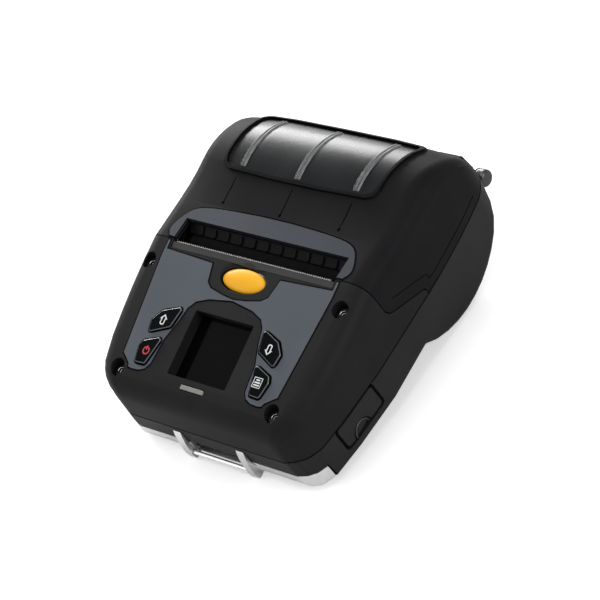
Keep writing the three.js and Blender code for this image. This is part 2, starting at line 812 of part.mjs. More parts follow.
const contactRoom = () =>
  midBox(
    contacts.halfWidth + slideGap,
    battery.frontY - overrun,
    contactY + slideGap,
    battery.height - contacts.height,
    battery.height + overrun,
  );

function batteryContacts() {
  const body = midBox(
    contacts.halfWidth,
    battery.frontY,
    contactY - contacts.blade - skin / 2,
    battery.height - contacts.height + 2 * seatGap,
    battery.height,
  );
  const blades = [];
  for (let k = 0; k < bladeCount; k++) {
    const x = (k - (bladeCount - 1) / 2) * contacts.bladePitch;
    blades.push(
      box(
        x - contacts.blade,
        x + contacts.blade,
        battery.frontY + skin / 2,
        contactY - seatGap,
        battery.height - contacts.height + contacts.blade + 2 * seatGap,
        battery.height - contacts.blade,
      ),
    );
  }
  return body.add(joined(blades));
}

// Sliding catch that holds the pack at its rear edge.
const catchRoom = () =>
  midBox(
    catchPiece.halfWidth + slideGap,
    bayRearY + bay.wall - overrun,
    bayRearY + seatGap + catchPiece.length + catchPiece.travel + slideGap,
    -overrun,
    catchPiece.thickness + slideGap,
  );

function batteryCatch() {
  const front = bayRearY + seatGap;
  const plate = midBox(catchPiece.halfWidth, front, front + catchPiece.length, 0, catchPiece.thickness);
  const grips = [];
  for (let k = 1; k <= 3; k++) {
    const y = front + (catchPiece.length * k) / 4;
    grips.push(midBox(catchPiece.halfWidth - skin, y - seatGap, y + seatGap, -overrun, seatGap));
  }
  return plate.subtract(joined(grips));
}

// Walls of the hollow behind the strap bar.
const pocketLining = () =>
  midBox(
    strapPocket.halfWidth + skin,
    form.frontY,
    form.frontY + strapPocket.depth + skin,
    wall / 2,
    strapPocket.topZ + skin,
  );

// Metal bracket: a shoe that follows the foot of the case, with two lugs and a bar between them
const inBracketZone = (margin) =>
  box(
    -farX,
    farX,
    form.frontY - overrun,
    bracket.rearY + margin,
    -overrun,
    bracket.topZ + margin,
  );

const bracketRoom = () => {
  const core = outerForm(bracket.thickness + seatGap, innerEdgeSteps);
  const pocket = midBox(
    strapPocket.halfWidth,
    form.frontY - overrun,
    form.frontY + strapPocket.depth,
    -overrun,
    strapPocket.topZ,
  );
  return inBracketZone(seatGap).subtract(core).add(pocket);
};

function strapBracket() {
  const core = outerForm(bracket.thickness, innerEdgeSteps);
  const shoe = outside.intersect(inBracketZone(0)).subtract(core);
  const gap = midBox(
    bracket.slotHalfWidth,
    form.frontY - overrun,
    bracket.rearY + overrun,
    bracket.thickness,
    bracket.topZ + overrun,
  );
  const boreEnd = lug.outerX - skin;
  const bore = roundX(strapBar.radius + seatGap, -boreEnd, boreEnd, strapBar.y, strapBar.z, screwSides);
  return shoe.subtract(gap).add(bothSides(lugBody())).subtract(bore);
}

const lugFrontShares = [
  [0, 1],
  [0.35, 0.86],
  [0.8, 0.55],
  [1, 0.2],
  [0.86, 0.04],
  [0.5, 0],
];

function lugBody() {
  const side = lugFrontShares.map(([out, up]) =>
    point(lerp(form.frontY - seatGap, lug.frontY, out), lerp(lug.bottomZ, lug.tipZ, up)),
  );
  const rear = [
    point(bracket.rearY, 0),
    point(bracket.rearY, bracket.thickness),
    point(form.frontY + bracket.thickness, bracket.thickness),
    point(form.frontY + bracket.thickness, bracket.topZ),
    point(form.frontY - seatGap, bracket.topZ),
  ];
  const blade = prism([...side, ...rear], lug.innerX, lug.outerX, alongX);
  const flare = prism(
    [
      point(lug.outerX - skin, lug.flareZ),
      point(lug.outerX + skin / 2, lug.flareZ),
      point(lug.flareX, bracket.topZ - skin),
      point(lug.outerX - skin, bracket.topZ - skin),
    ].map((p) => point(p.y, p.x)),
    form.frontY - skin / 2,
    form.frontY + bracket.thickness,
    alongY,
  );
  return blade.add(flare);
}

function strapBarSolid() {
  const end = lug.outerX - skin - seatGap;
  return roundX(strapBar.radius, -end, end, strapBar.y, strapBar.z, screwSides);
}

// Connector flap

const flapOutline = (margin) =>
  rounded(
    [
      point(flap.frontY - margin, flap.bottomZ - margin),
      point(flap.rearY + margin, flap.bottomZ - margin),
      point(flap.rearY + margin, parting.z + margin - slideGap),
      point(flap.frontY - margin, parting.z + margin - slideGap),
    ],
    skin,
    2,
  );

const flapRoom = () => {
  const core = outerForm(flap.thickness + slideGap, innerEdgeSteps);
  const room = prism(flapOutline(slideGap), form.halfWidth / 2, farX, alongX).subtract(core);
  const sockets = [usb, dcJack].map((part) => {
    const reach = part === usb ? usb.halfWidth : dcJack.size / 2;
    const rise = part === usb ? usb.height / 2 : dcJack.size / 2;
    return box(
      part.faceX - overrun,
      farX,
      part.y - reach - seatGap,
      part.y + reach + seatGap,
      part.z - rise - seatGap,
      part.z + rise + seatGap,
    );
  });
  return room.add(joined(sockets));
};

function connectorFlap() {
  const core = outerForm(flap.thickness, innerEdgeSteps);
  const plate = outside.intersect(prism(flapOutline(0), form.halfWidth / 2, farX, alongX)).subtract(core);
  const notch = roundX(
    flap.notchRadius,
    planHalfWidth(flap.notchY, flap.bottomZ, 0) - flap.notchDepth,
    farX,
    flap.notchY,
    flap.bottomZ,
    24,
  );
  return plate.subtract(notch);
}

// The sockets hang from the underside of the main board.
function usbSocket() {
  const top = mainBoard.z - seatGap;
  const block = box(
    usb.faceX - usb.depth,
    usb.faceX,
    usb.y - usb.halfWidth,
    usb.y + usb.halfWidth,
    usb.z - usb.height / 2,
    top,
  );
  const mouth = box(
    usb.faceX - usb.depth + skin,
    usb.faceX + overrun,
    usb.y - usb.halfWidth + usb.shell,
    usb.y + usb.halfWidth - usb.shell,
    usb.z - usb.height / 2 + usb.shell,
    usb.z + usb.height / 2 - usb.shell,
  );
  const tongue = box(
    usb.faceX - usb.depth,
    usb.faceX - skin,
    usb.y - usb.halfWidth / 2,
    usb.y + usb.halfWidth / 2,
    usb.z - usb.shell,
    usb.z + usb.shell,
  );
  return block.subtract(mouth).add(tongue);
}

function dcSocket() {
  const top = mainBoard.z - seatGap;
  const half = dcJack.size / 2;
  const block = box(
    dcJack.faceX - dcJack.depth,
    dcJack.faceX,
    dcJack.y - half,
    dcJack.y + half,
    dcJack.z - half,
    top,
  );
  const bore = roundX(
    dcJack.boreRadius,
    dcJack.faceX - dcJack.boreDepth,
    dcJack.faceX + overrun,
    dcJack.y,
    dcJack.z,
    screwSides,
  );
  const pin = roundX(
    dcJack.pinRadius,
    dcJack.faceX - dcJack.boreDepth - skin,
    dcJack.faceX - skin,
    dcJack.y,
    dcJack.z,
    8,
  );
  return block.subtract(bore).add(pin);
}

// Hinge: a rod with grey end caps, held by two knuckles of the case and two of the lid
const hingeBore = () =>
  roundX(hinge.rodRadius + seatGap / 2, -farX, farX, hinge.y, hinge.z);

function knuckleArm(x, width, rootPoints) {
  const ring = roundX(hinge.knuckleRadius, x - width / 2, x + width / 2, hinge.y, hinge.z, 24);
  return ring.add(prism(rootPoints, x - width / 2, x + width / 2, alongX));
}

const bellyY = (z) => belly.y + Math.sqrt(belly.radius ** 2 - (belly.z - z) ** 2);
const caseRootPoints = () => [
  point(hinge.y, hinge.z - hinge.knuckleRadius),
  point(hinge.y, hinge.z + skin),
  point(bellyY(hinge.z) - wall / 2, hinge.z + skin),
  point(bellyY(hinge.z - 2 * hinge.knuckleRadius) - wall / 2, hinge.z - 2 * hinge.knuckleRadius),
];

const caseKnuckles = () => bothSides(knuckleArm(caseKnuckle.x, caseKnuckle.width, caseRootPoints()));

const lidRootPoints = () => {
  const foot = parting.rearZ + seatGap;
  const lidBackY = dome.y + dome.radius;
  return [
    point(hinge.y + hinge.knuckleRadius, hinge.z),
    point(hinge.y + hinge.knuckleRadius - skin, foot - wall),
    point(lidBackY - wall / 2, foot + wall),
    point(lidBackY - wall / 2, foot),
    point(hinge.y - skin / 2, foot - wall),
    point(hinge.y - hinge.knuckleRadius / 2, hinge.z),
  ];
};

const lidKnuckles = () => bothSides(knuckleArm(lidKnuckle.x, lidKnuckle.width, lidRootPoints()));

function hingeRod() {
  const rodEnd = hinge.halfLength - seatGap;
  const rod = roundX(hinge.rodRadius, -rodEnd, rodEnd, hinge.y, hinge.z, 24);
  const cap = roundX(
    hinge.endRadius,
    hinge.halfLength - hinge.endLength,
    hinge.halfLength,
    hinge.y,
    hinge.z,
    24,
  );
  return rod.add(bothSides(cap));
}

// Upper front shell

function panelOutline() {
  const at = ([across, along]) => point(across * panel.halfWidth, lerp(panel.rearY, panel.frontY, along));
  const right = [
    point(panel.legInnerX, panel.slotEdgeY),
    point(panel.legInnerX, panel.rearY),
    point(panel.halfWidth, panel.rearY),
    ...panelOuterShares.map(at),
  ];
  const left = [...right].reverse().map((p) => point(-p.x, p.y));
  const island = at([0, panelIslandTopShare]);
  const inner = panelButtonShares.map(at);
  const innerLeft = [...inner].reverse().map((p) => point(-p.x, p.y));
  return [...right, island, ...left, ...innerLeft, ...inner.slice(1)].reverse();
}

// Levels under the panel plane: display glass, display, and the board that carries it
const lensTopN = -well.depth - seatGap;
const lcdTopN = lensTopN - lens.thickness - seatGap;
const boardN = lcdTopN - lcd.thickness - seatGap;

const keyOutline = (shares, side, margin) => {
  const corners = shares.map(([across, along]) =>
    point(side * across * panel.halfWidth, lerp(panel.rearY, panel.frontY, along)),
  );
  const middle = corners.reduce((sum, p) => sum.clone().add(p)).multiplyScalar(1 / corners.length);
  const spread = corners.map((p) => {
    const away = p.clone().sub(middle);
    return p.clone().add(away.setLength(margin * Math.SQRT2));
  });
  const outline = rounded(spread, keyRounding + Math.max(0, margin), keyRoundSteps);
  return side < 0 ? outline.reverse() : outline;
};

const keyList = [
  { name: "key_up", shares: upperKeyShares, side: -1 },
  { name: "key_down", shares: upperKeyShares, side: 1 },
  { name: "key_power", shares: lowerKeyShares, side: -1 },
  { name: "key_menu", shares: lowerKeyShares, side: 1 },
];

function keyMiddle(key) {
  const corners = key.shares.map(([across, along]) =>
    point(key.side * across * panel.halfWidth, lerp(panel.rearY, panel.frontY, along)),
  );
  return corners.reduce((sum, p) => sum.clone().add(p)).multiplyScalar(1 / corners.length);
}

function keyCap(key) {
  const cap = panelPrism(keyOutline(key.shares, key.side, 0), -keySize.thickness, keySize.proud);
  const skirtTop = -wall - seatGap;
  const skirt = panelPrism(
    keyOutline(key.shares, key.side, keySize.skirt),
    skirtTop - keySize.skirtDepth,
    skirtTop,
  );
  const middle = keyMiddle(key);
  const stem = roundOnPanel(
    keySize.stemRadius,
    boardN + keySwitch.height + keySize.travel + seatGap,
    -keySize.thickness / 2,
    middle.x,
    middle.y,
  );
  return cap.add(skirt).add(stem);
}

const keyHole = (key) =>
  panelPrism(keyOutline(key.shares, key.side, slideGap), -overrun, overrun);

const rectangle = (halfWidth, frontY, rearY) => [
  point(-halfWidth, frontY),
  point(halfWidth, frontY),
  point(halfWidth, rearY),
  point(-halfWidth, rearY),
];

const ovalOnPanel = (margin, n0, n1) =>
  roundOnPanel(
    button.halfDepth + margin,
    n0,
    n1,
    0,
    button.y,
    buttonSides,
    (button.halfLength + margin) / (button.halfDepth + margin),
  );

// Sloping oval hollow that lets a finger reach the button from behind.
function scoopCut(margin) {
  const across = scoop.halfDepth + margin;
  const funnel = new THREE.CylinderGeometry(
    across + scoop.slope,
    across - scoop.slope,
    2 * scoop.depth,
    buttonSides,
  );
  funnel.rotateX(Math.PI / 2);
  funnel.scale((scoop.halfLength + margin) / across, 1, 1);
  funnel.translate(0, slopeV(scoop.y), 0);
  return solidOf(funnel.applyMatrix4(onPanel));
}

// roundOnPanel stretches about x = 0, which is where the button lies.
function releaseButton() {
  const profile = [point(0, -button.skirt), point(1, -button.skirt)];
  const crownSteps = 5;
  for (let k = 0; k <= crownSteps; k++) {
    const angle = ((Math.PI / 2) * k) / crownSteps;
    profile.push(point(Math.cos(angle), button.crown * Math.sin(angle)));
  }
  const cap = new THREE.LatheGeometry(profile, buttonSides);
  cap.rotateX(Math.PI / 2);
  cap.scale(button.halfLength, button.halfDepth, 1);
  cap.translate(0, slopeV(button.y), button.proud - button.crown);
  const stem = roundOnPanel(
    button.stemRadius,
    button.proud - button.crown - button.skirt - button.stemLength,
    button.proud - button.crown - button.skirt + skin,
    0,
    button.y,
  );
  return solidOf(cap.applyMatrix4(onPanel)).add(stem);
}

function topCase() {
  const lowerFace = belowParting(-seatGap);
  let shell = outside.subtract(inside).subtract(lowerFace).subtract(lidZoneWide);
  const rimOutline = rectangle(well.halfWidth + well.rim, well.frontY - well.rim, well.rearY + well.rim);
  const rim = panelPrism(rimOutline, -well.depth, -wall / 2);
  const collar = ovalOnPanel(button.wellMargin + button.collarWall, -button.collarDepth, -wall / 2);
  shell = shell.add(rim).add(collar);
  for (const place of screwList) {
    const boss = roundZ(screw.bossRadius, parting.z + seatGap, panelZ(place.y), place.x, place.y, 20);
    shell = shell.add(boss.intersect(outside));
  }
  shell = shell.add(tearBarLedge());
  for (const side of [-1, 1]) {
    const spots = [
      [panelPost.rearX, panelPost.rearY],
      [panelPost.frontX, panelPost.frontY],
    ];
    for (const [x, y] of spots)
      shell = shell.add(postOnPanel(panelPost.radius, boardN + seatGap, -wall / 2, side * x, y));
  }
  shell = shell.subtract(panelPrism(panelOutline(), -panel.bed, overrun));
  for (const key of keyList) shell = shell.subtract(keyHole(key));
  const wellOutline = rounded(rectangle(well.halfWidth, well.frontY, well.rearY), well.corner, 2);
  shell = shell.subtract(panelPrism(wellOutline, -overrun - well.depth, overrun));
  shell = shell.subtract(ovalOnPanel(button.wellMargin, -overrun - button.collarDepth, overrun));
  shell = shell.subtract(scoopCut(0));
  const ledOutline = rectangle(led.halfLength + seatGap, led.frontY - seatGap, led.rearY + seatGap);
  shell = shell.subtract(panelPrism(ledOutline, -overrun, overrun));
  for (const place of screwList) {
    shell = shell.subtract(
      roundZ(screw.recessRadius, screwSeatZ(place), farZ, place.x, place.y, 20),
    );
    shell = shell.subtract(shankHole(place, -overrun, farZ));
  }
  return shell.subtract(tearBarRoom());
}

function controlPanel() {
  let plate = panelPrism(insetOutline(panelOutline(), seatGap), -panel.bed + seatGap, panel.proud);
  for (const key of keyList) plate = plate.subtract(keyHole(key));
  for (const place of screwList)
    plate = plate.subtract(roundZ(screw.recessRadius + seatGap, 0, farZ, place.x, place.y, 20));
  return plate;
}

// Draw a closed outline in by a distance, corner by corner.
function insetOutline(outline, distance) {
  const count = outline.length;
  return outline.map((p, i) => {
    const before = p.clone().sub(outline[(i + count - 1) % count]).normalize();
    const after = outline[(i + 1) % count].clone().sub(p).normalize();
    const normal = point(-before.y - after.y, before.x + after.x).normalize();
    const stretch = Math.max(normal.dot(point(-before.y, before.x)), 1 / 2);
    return p.clone().add(normal.multiplyScalar(distance / stretch));
  });
}

// Display glass, display and light bar

const lcdLens = () =>
  panelPrism(
    rectangle(well.halfWidth + lens.margin, well.frontY - lens.margin, well.rearY + lens.margin),
    lensTopN - lens.thickness,
    lensTopN,
  );

const lcdModule = () =>
  panelPrism(
    rectangle(well.halfWidth + lcd.margin, well.frontY - lcd.margin, well.rearY + lcd.margin),
    lcdTopN - lcd.thickness,
    lcdTopN,
  );

const statusLed = () =>
  panelPrism(rounded(rectangle(led.halfLength, led.frontY, led.rearY), seatGap, 2), -led.depth, led.proud);

function panelBoardSolid() {
  const outline = rectangle(panelBoard.halfWidth, panelBoard.frontY, panelBoard.rearY);
  const board = panelPrism(outline, boardN - panelBoard.thickness, boardN);
  const switches = keyList.map((key) => {
    const middle = keyMiddle(key);
    const top = boardN + keySwitch.height;
    return roundOnPanel(keySwitch.radius, boardN - skin / 2, top, middle.x, middle.y, 12);
  });
  return board.add(joined(switches));
}

function mainBoardSolid() {
  const board = midBox(
    mainBoard.halfWidth,
    mainBoard.frontY,
    mainBoard.rearY,
    mainBoard.z,
    mainBoard.z + mainBoard.thickness,
  );
  const parts = [0, 1].map((k) => {
    const x = chips.x + k * chips.pitch;
    const y = (mainBoard.frontY + mainBoard.rearY) / 2;
    return box(
      x,
      x + chips.size,
      y - chips.size / 2,
      y + chips.size / 2,
      mainBoard.z + mainBoard.thickness / 2,
      mainBoard.z + mainBoard.thickness + chips.height,
    );
  });
  let whole = board.add(joined(parts));
  for (const place of screwList)
    whole = whole.subtract(roundZ(screw.bossRadius + slideGap, 0, farZ, place.x, place.y, 20));
  return whole;
}

// Serrated bar along the front of the slot

const barRearY = seamY - seatGap;
const barTopZ = panelZ(seamY) - tearBar.drop;

const tearBarLedge = () =>
  midBox(
    slot.halfWidth + skin,
    barRearY - tearBar.depth - skin,
    barRearY - seatGap,
    barTopZ - tearBar.height - seatGap - skin,
    barTopZ - tearBar.height / 2,
  );

const tearBarRoom = () =>
  midBox(
    slot.halfWidth + seatGap,
    barRearY - tearBar.depth - seatGap,
    seamY + overrun,
    barTopZ - tearBar.height - seatGap,
    farZ,
  );

function tearBarSolid() {
  const outline = [
    point(slot.halfWidth, barRearY - tearBar.depth),
    point(slot.halfWidth, barRearY - tearBar.lip),
  ];
  const count = Math.floor((2 * (slot.halfWidth - tearBar.lip)) / tearBar.toothPitch);
  const start = (count * tearBar.toothPitch) / 2;
  for (let k = 0; k < count; k++) {
    const x = start - k * tearBar.toothPitch;
    outline.push(point(x, barRearY - tearBar.toothDepth));
    outline.push(point(x - tearBar.toothPitch / 2, barRearY));
  }
  outline.push(point(-start, barRearY - tearBar.toothDepth));
  outline.push(point(-slot.halfWidth, barRearY - tearBar.lip));
  outline.push(point(-slot.halfWidth, barRearY - tearBar.depth));
  const blade = prism(outline, barTopZ - tearBar.lip, barTopZ, alongZ);
  const bar = midBox(
    slot.halfWidth,
    barRearY - tearBar.depth,
    barRearY - tearBar.toothDepth,
    barTopZ - tearBar.height,
    barTopZ - tearBar.lip / 2,
  );
  const slope = prism(
    [
      point(barRearY - tearBar.toothDepth, barTopZ),
      point(barRearY - tearBar.toothDepth, farZ),
      point(barRearY - tearBar.depth - skin, farZ),
      point(barRearY - tearBar.depth - skin, barTopZ - tearBar.fall),
      point(barRearY - tearBar.depth, barTopZ - tearBar.fall),
    ],
    -farX,
    farX,
    alongX,
  );
  return blade.add(bar).subtract(slope).subtract(scoopCut(seatGap));
}

// Print mechanism

const openWay = point(-(hinge.z - platen.z), -(platen.y - hinge.y)).normalize(); // way the platen lifts
const pitchRadius = (teeth) => (gears.module * teeth) / 2;
const idlerPlace = point(platen.y, platen.z).sub(
  openWay.clone().multiplyScalar(pitchRadius(gears.platenTeeth) + pitchRadius(gears.idlerTeeth)),
);
const pinionReach = pitchRadius(gears.pinionTeeth) + pitchRadius(gears.idlerTeeth);
const pinionPlace = point(
  idlerPlace.x - drive.pinionBack,
  idlerPlace.y - Math.sqrt(pinionReach ** 2 - drive.pinionBack ** 2),
);

// The outline of a spur gear, with the middle of one tooth at the angle given.
function gearOutline(teeth, module, place, toothAngle) {
  const radius = (teeth * module) / 2;
  const pitch = (2 * Math.PI) / teeth;
  const rootRadius = radius - module * gearFit.dedendumShare;
  const tipRadius = radius + module * gearFit.addendumShare;
  const flank = [
    [rootRadius, gearFit.rootShare],
    [radius, gearFit.pitchShare],
    [tipRadius, gearFit.tipShare],
  ];
  const sides = [...flank.map(([r, share]) => [r, -share]), ...[...flank].reverse()];
  const outline = [];
  for (let k = 0; k < teeth; k++)
    for (const [r, share] of sides) {
      const angle = toothAngle + (k + share / 2) * pitch;
      outline.push(point(place.x + r * Math.cos(angle), place.y + r * Math.sin(angle)));
    }
  return outline;
}

function gear(teeth, place, toothAngle, boreRadius) {
  const outline = gearOutline(teeth, gears.module, place, toothAngle);
  const disc = prism(outline, gears.x - gears.width / 2, gears.x + gears.width / 2, alongX);
  return disc.subtract(roundX(boreRadius, 0, farX, place.x, place.y, screwSides));
}

// The guides' pinion has a gap towards each rack.
const pinionGap = Math.PI / 2 + Math.PI / guideRack.teeth;

const meshAngle = (from, to) => to.clone().sub(from).angle();
const platenPlace = point(platen.y, platen.z);
const idlerTooth = meshAngle(idlerPlace, platenPlace);
const platenTooth = meshAngle(platenPlace, idlerPlace) + Math.PI / gears.platenTeeth;

// The pinion has a gap where the idler has a tooth on their centre line, and the other way round.
function pinionTooth() {
  const pitch = (2 * Math.PI) / gears.idlerTeeth;
  const toPinion = meshAngle(idlerPlace, pinionPlace);
  const turns = (toPinion - idlerTooth) / pitch;
  const phase = turns - Math.round(turns);
  const pinionPitch = (2 * Math.PI) / gears.pinionTeeth;
  return meshAngle(pinionPlace, idlerPlace) + pinionPitch / 2 + phase * pinionPitch;
}

const platenGear = () => gear(gears.platenTeeth, platenPlace, platenTooth, platen.shaftRadius + seatGap / 2);
const idlerGear = () => gear(gears.idlerTeeth, idlerPlace, idlerTooth, drive.studRadius + drive.boreGap);
const motorPinion = () =>
  gear(gears.pinionTeeth, pinionPlace, pinionTooth(), motor.shaftRadius + drive.boreGap);

function idlerStud() {
  const plateX = chassis.plateX + chassis.plate + seatGap;
  const end = gears.x + gears.width / 2 + seatGap;
  const stud = roundX(drive.studRadius, plateX, end + skin / 2, idlerPlace.x, idlerPlace.y, screwSides);
  const cap = roundX(2 * drive.studRadius, end, end + skin / 2, idlerPlace.x, idlerPlace.y, screwSides);
  const foot = roundX(
    2 * drive.studRadius,
    plateX,
    gears.x - gears.width / 2 - seatGap,
    idlerPlace.x,
    idlerPlace.y,
    screwSides,
  );
  return stud.add(cap).add(foot);
}

function stepperMotor() {
  const faceX = chassis.plateX - seatGap;
  const can = roundX(motor.radius, faceX - motor.length, faceX, pinionPlace.x, pinionPlace.y, 28);
  const reach = motor.radius + motor.flangeReach;
  const ears = prism(
    rounded(
      [
        point(pinionPlace.x - motor.hubRadius, pinionPlace.y - reach),
        point(pinionPlace.x + motor.hubRadius, pinionPlace.y - reach),
        point(pinionPlace.x + motor.hubRadius, pinionPlace.y + reach),
        point(pinionPlace.x - motor.hubRadius, pinionPlace.y + reach),
      ],
      motor.hubRadius,
      3,
    ),
    faceX - motor.flange,
    faceX,
    alongX,
  );
  const shaftEnd = gears.x + gears.width / 2;
  const shaft = roundX(motor.shaftRadius, faceX - skin, shaftEnd, pinionPlace.x, pinionPlace.y, 12);
  return can.add(ears).add(shaft);
}

function chassisSolid() {
  const plateOutline = [
    point(chassis.frontY, chassis.baseZ),
    point(chassis.rearY, chassis.baseZ),
    point(chassis.rearY, chassis.topZ),
    point(chassis.noseY, chassis.topZ),
    point(chassis.shoulderY, chassis.shoulderZ),
    point(chassis.frontY, chassis.shoulderZ),
  ];
  const plate = prism(plateOutline, chassis.plateX, chassis.plateX + chassis.plate, alongX);
  const notchReach = openWay.clone().multiplyScalar(overrun * 2);
  const side = point(-openWay.y, openWay.x).multiplyScalar(bush.radius + seatGap);
  const seat = platenPlace;
  const notch = prism(
    [
      seat.clone().add(side),
      seat.clone().sub(side),
      seat.clone().sub(side).add(notchReach),
      seat.clone().add(side).add(notchReach),
    ].reverse(),
    0,
    farX,
    alongX,
  ).add(roundX(bush.radius + seatGap, 0, farX, platen.y, platen.z, 24));
  const base = midBox(
    chassis.plateX + chassis.plate,
    chassis.frontY,
    chassis.rearY,
    chassis.baseZ,
    chassis.baseZ + chassis.baseThickness,
  );
  const shaftHole = roundX(motor.shaftRadius + seatGap, 0, farX, pinionPlace.x, pinionPlace.y, screwSides);
  const latchHole = roundX(latch.shaftRadius + seatGap, -farX, farX, latch.pivotY, latch.pivotZ, screwSides);
  const motorEdge = motor.radius + slideGap;
  const window = box(
    chassis.plateX - motor.length - 3 * skin,
    chassis.plateX,
    pinionPlace.x - motorEdge,
    pinionPlace.x + motorEdge,
    chassis.baseZ - overrun,
    chassis.baseZ + overrun,
  );
  const lobe = prism(
    rounded(
      [
        point(pinionPlace.x - motorEdge, pinionPlace.y - motor.radius - motor.flangeReach),
        point(pinionPlace.x + motorEdge, pinionPlace.y - motor.radius - motor.flangeReach),
        point(pinionPlace.x + motorEdge, chassis.baseZ + overrun),
        point(pinionPlace.x - motorEdge, chassis.baseZ + overrun),
      ],
      [motor.hubRadius, motor.hubRadius, 0, 0],
    ),
    chassis.plateX,
    chassis.plateX + chassis.plate,
    alongX,
  );
  const springRest = sinkBack - headSpring.length - seatGap;
  const rest = midBox(
    springWall.halfWidth,
    springRest - springWall.thickness,
    springRest,
    chassis.baseZ,
    springWall.topZ,
  );
  return bothSides(plate.add(lobe).subtract(notch))
    .add(base.subtract(window))
    .add(rest)
    .subtract(shaftHole)
    .subtract(latchHole);
}

const platenRoller = () =>
  roundX(platen.radius, -platen.halfLength, platen.halfLength, platen.y, platen.z, 28).subtract(
    roundX(platen.shaftRadius + seatGap / 2, -farX, farX, platen.y, platen.z, screwSides),
  );

const platenShaft = () =>
  roundX(
    platen.shaftRadius,
    -bush.outerX - skin,
    gears.x + gears.width / 2 + skin / 2,
    platen.y,
    platen.z,
    screwSides,
  );

function platenBush() {
  const ring = roundX(bush.radius, bush.innerX, bush.outerX, platen.y, platen.z, 24);
  return ring.subtract(roundX(platen.shaftRadius + seatGap / 2, 0, farX, platen.y, platen.z, screwSides));
}

const headFaceY = platen.y - platen.radius - seatGap;

const printHead = () =>
  midBox(head.halfLength, headFaceY - head.plate, headFaceY, head.bottomZ, head.topZ);

function headSink() {
  const front = headFaceY - head.plate - seatGap;
  const body = midBox(head.halfLength, front - head.sinkDepth, front, head.footZ, head.topZ);
  const grooves = [];
  const count = Math.floor((2 * head.halfLength) / head.finPitch) - 1;
  for (let k = 0; k < count; k++) {
    const x = (k - (count - 1) / 2) * head.finPitch;
    grooves.push(
      box(
        x - skin,
        x + skin,
        front - head.sinkDepth - overrun,
        front - head.sinkDepth + head.finDepth,
        head.bottomZ,
        head.topZ - skin,
      ),
    );
  }
  const leg = box(
    headLeg.x - headLeg.width / 2,
    headLeg.x + headLeg.width / 2,
    front - headLeg.depth,
    front,
    chassis.baseZ + chassis.baseThickness + seatGap,
    head.footZ + skin,
  );
  return body.subtract(joined(grooves)).add(bothSides(leg));
}

// A small compression spring along Y, as one unbroken wire.
class Helix extends THREE.Curve {
  constructor(place, radius, length, turns) {
    super();
    Object.assign(this, { place, radius, length, turns });
  }
  getPoint(t, target = new THREE.Vector3()) {
    const angle = 2 * Math.PI * this.turns * t;
    return target.set(
      this.place.x + this.radius * Math.cos(angle),
      this.place.y - this.length * t,
      this.place.z + this.radius * Math.sin(angle),
    );
  }
}

const wireSection = (radius) => {
  const outline = [];
  const wireSides = 5;
  for (let k = 0; k < wireSides; k++) {
    const angle = (2 * Math.PI * k) / wireSides;
    outline.push(point(radius * Math.cos(angle), radius * Math.sin(angle)));
  }
  return new THREE.Shape(outline);
};

const sinkBack = headFaceY - head.plate - head.sinkDepth - 2 * seatGap;

function headSpringSolid(side) {
  const start = new THREE.Vector3(side * headSpring.x, sinkBack - headSpring.wire, headSpring.z);
  const length = headSpring.length - 2 * headSpring.wire;
  const curve = new Helix(start, headSpring.radius, length, headSpring.turns);
  const geometry = new THREE.ExtrudeGeometry(wireSection(headSpring.wire / 2), {
    steps: headSpring.turns * 8,
    extrudePath: curve,
    bevelEnabled: false,
  });
  return solidOf(geometry);
}

// Latch under the release button: two hooks joined by a bar that the button's stem presses
const stemFootN = button.proud - button.crown - button.skirt - button.stemLength;
const latchTopZ = panelZ(button.y) + stemFootN - 2 * seatGap;

function latchLever() {
  const inner = bush.radius + slideGap;
  const outer = inner + latch.hookReach;
  const jawSteps = 5;
  const jaw = [];
  for (let k = 0; k <= jawSteps; k++) {
    const angle = lerp(latch.hookFrom, latch.hookTo, k / jawSteps);
    jaw.unshift(polar(platen.y, platen.z, inner, angle));
    jaw.push(polar(platen.y, platen.z, outer, angle));
  }
  const x0 = latch.hookX - latch.hookThickness / 2;
  const x1 = latch.hookX + latch.hookThickness / 2;
  const frontY = latch.tabY - latch.tabDepth / 2;
  const arm = [
    point(latch.pivotY - latch.hubRadius, latch.pivotZ),
    point(latch.pivotY + latch.hubRadius, latch.pivotZ),
    polar(platen.y, platen.z, inner, latch.hookFrom),
    polar(platen.y, platen.z, outer, (latch.hookFrom + latch.hookTo) / 2),
    point(frontY + latch.barDepth + skin, latchTopZ),
    point(frontY, latchTopZ),
    point(frontY, latchTopZ - 2 * latch.tabThickness),
  ];
  const cheek = prism(jaw.reverse(), x0, x1, alongX)
    .add(prism(arm, x0, x1, alongX))
    .add(roundX(latch.hubRadius, x0, x1, latch.pivotY, latch.pivotZ, 20));
  const bore = roundX(latch.shaftRadius + seatGap, -farX, farX, latch.pivotY, latch.pivotZ, screwSides);
  const bar = midBox(
    latch.hookX,
    frontY,
    frontY + latch.barDepth,
    latchTopZ - 2 * latch.tabThickness,
    latchTopZ,
  );
  const tab = midBox(
    latch.tabHalfWidth,
    frontY,
    frontY + latch.tabDepth,
    latchTopZ - latch.tabThickness,
    latchTopZ,
  );
  return bothSides(cheek).subtract(bore).add(bar).add(tab);
}

const latchShaft = () =>
  roundX(
    latch.shaftRadius,
    -chassis.plateX - chassis.plate,
    chassis.plateX + chassis.plate,
    latch.pivotY,
    latch.pivotZ,
    12,
  );

// Lid and what it carries

function archOutline(margin) {
  const at = ([across, back]) =>
    point(across * arch.halfWidth, seamY + slideGap + back * arch.depth);
  const right = archShares.map(at);
  const left = [...right].reverse().slice(1).map((p) => point(-p.x, p.y));
  const outline = new THREE.SplineCurve([...right, ...left]).getPoints(archSteps);
  return margin === 0 ? outline : insetOutline(outline, -margin);
}

const archBedZ = lidTopZ - arch.bed;

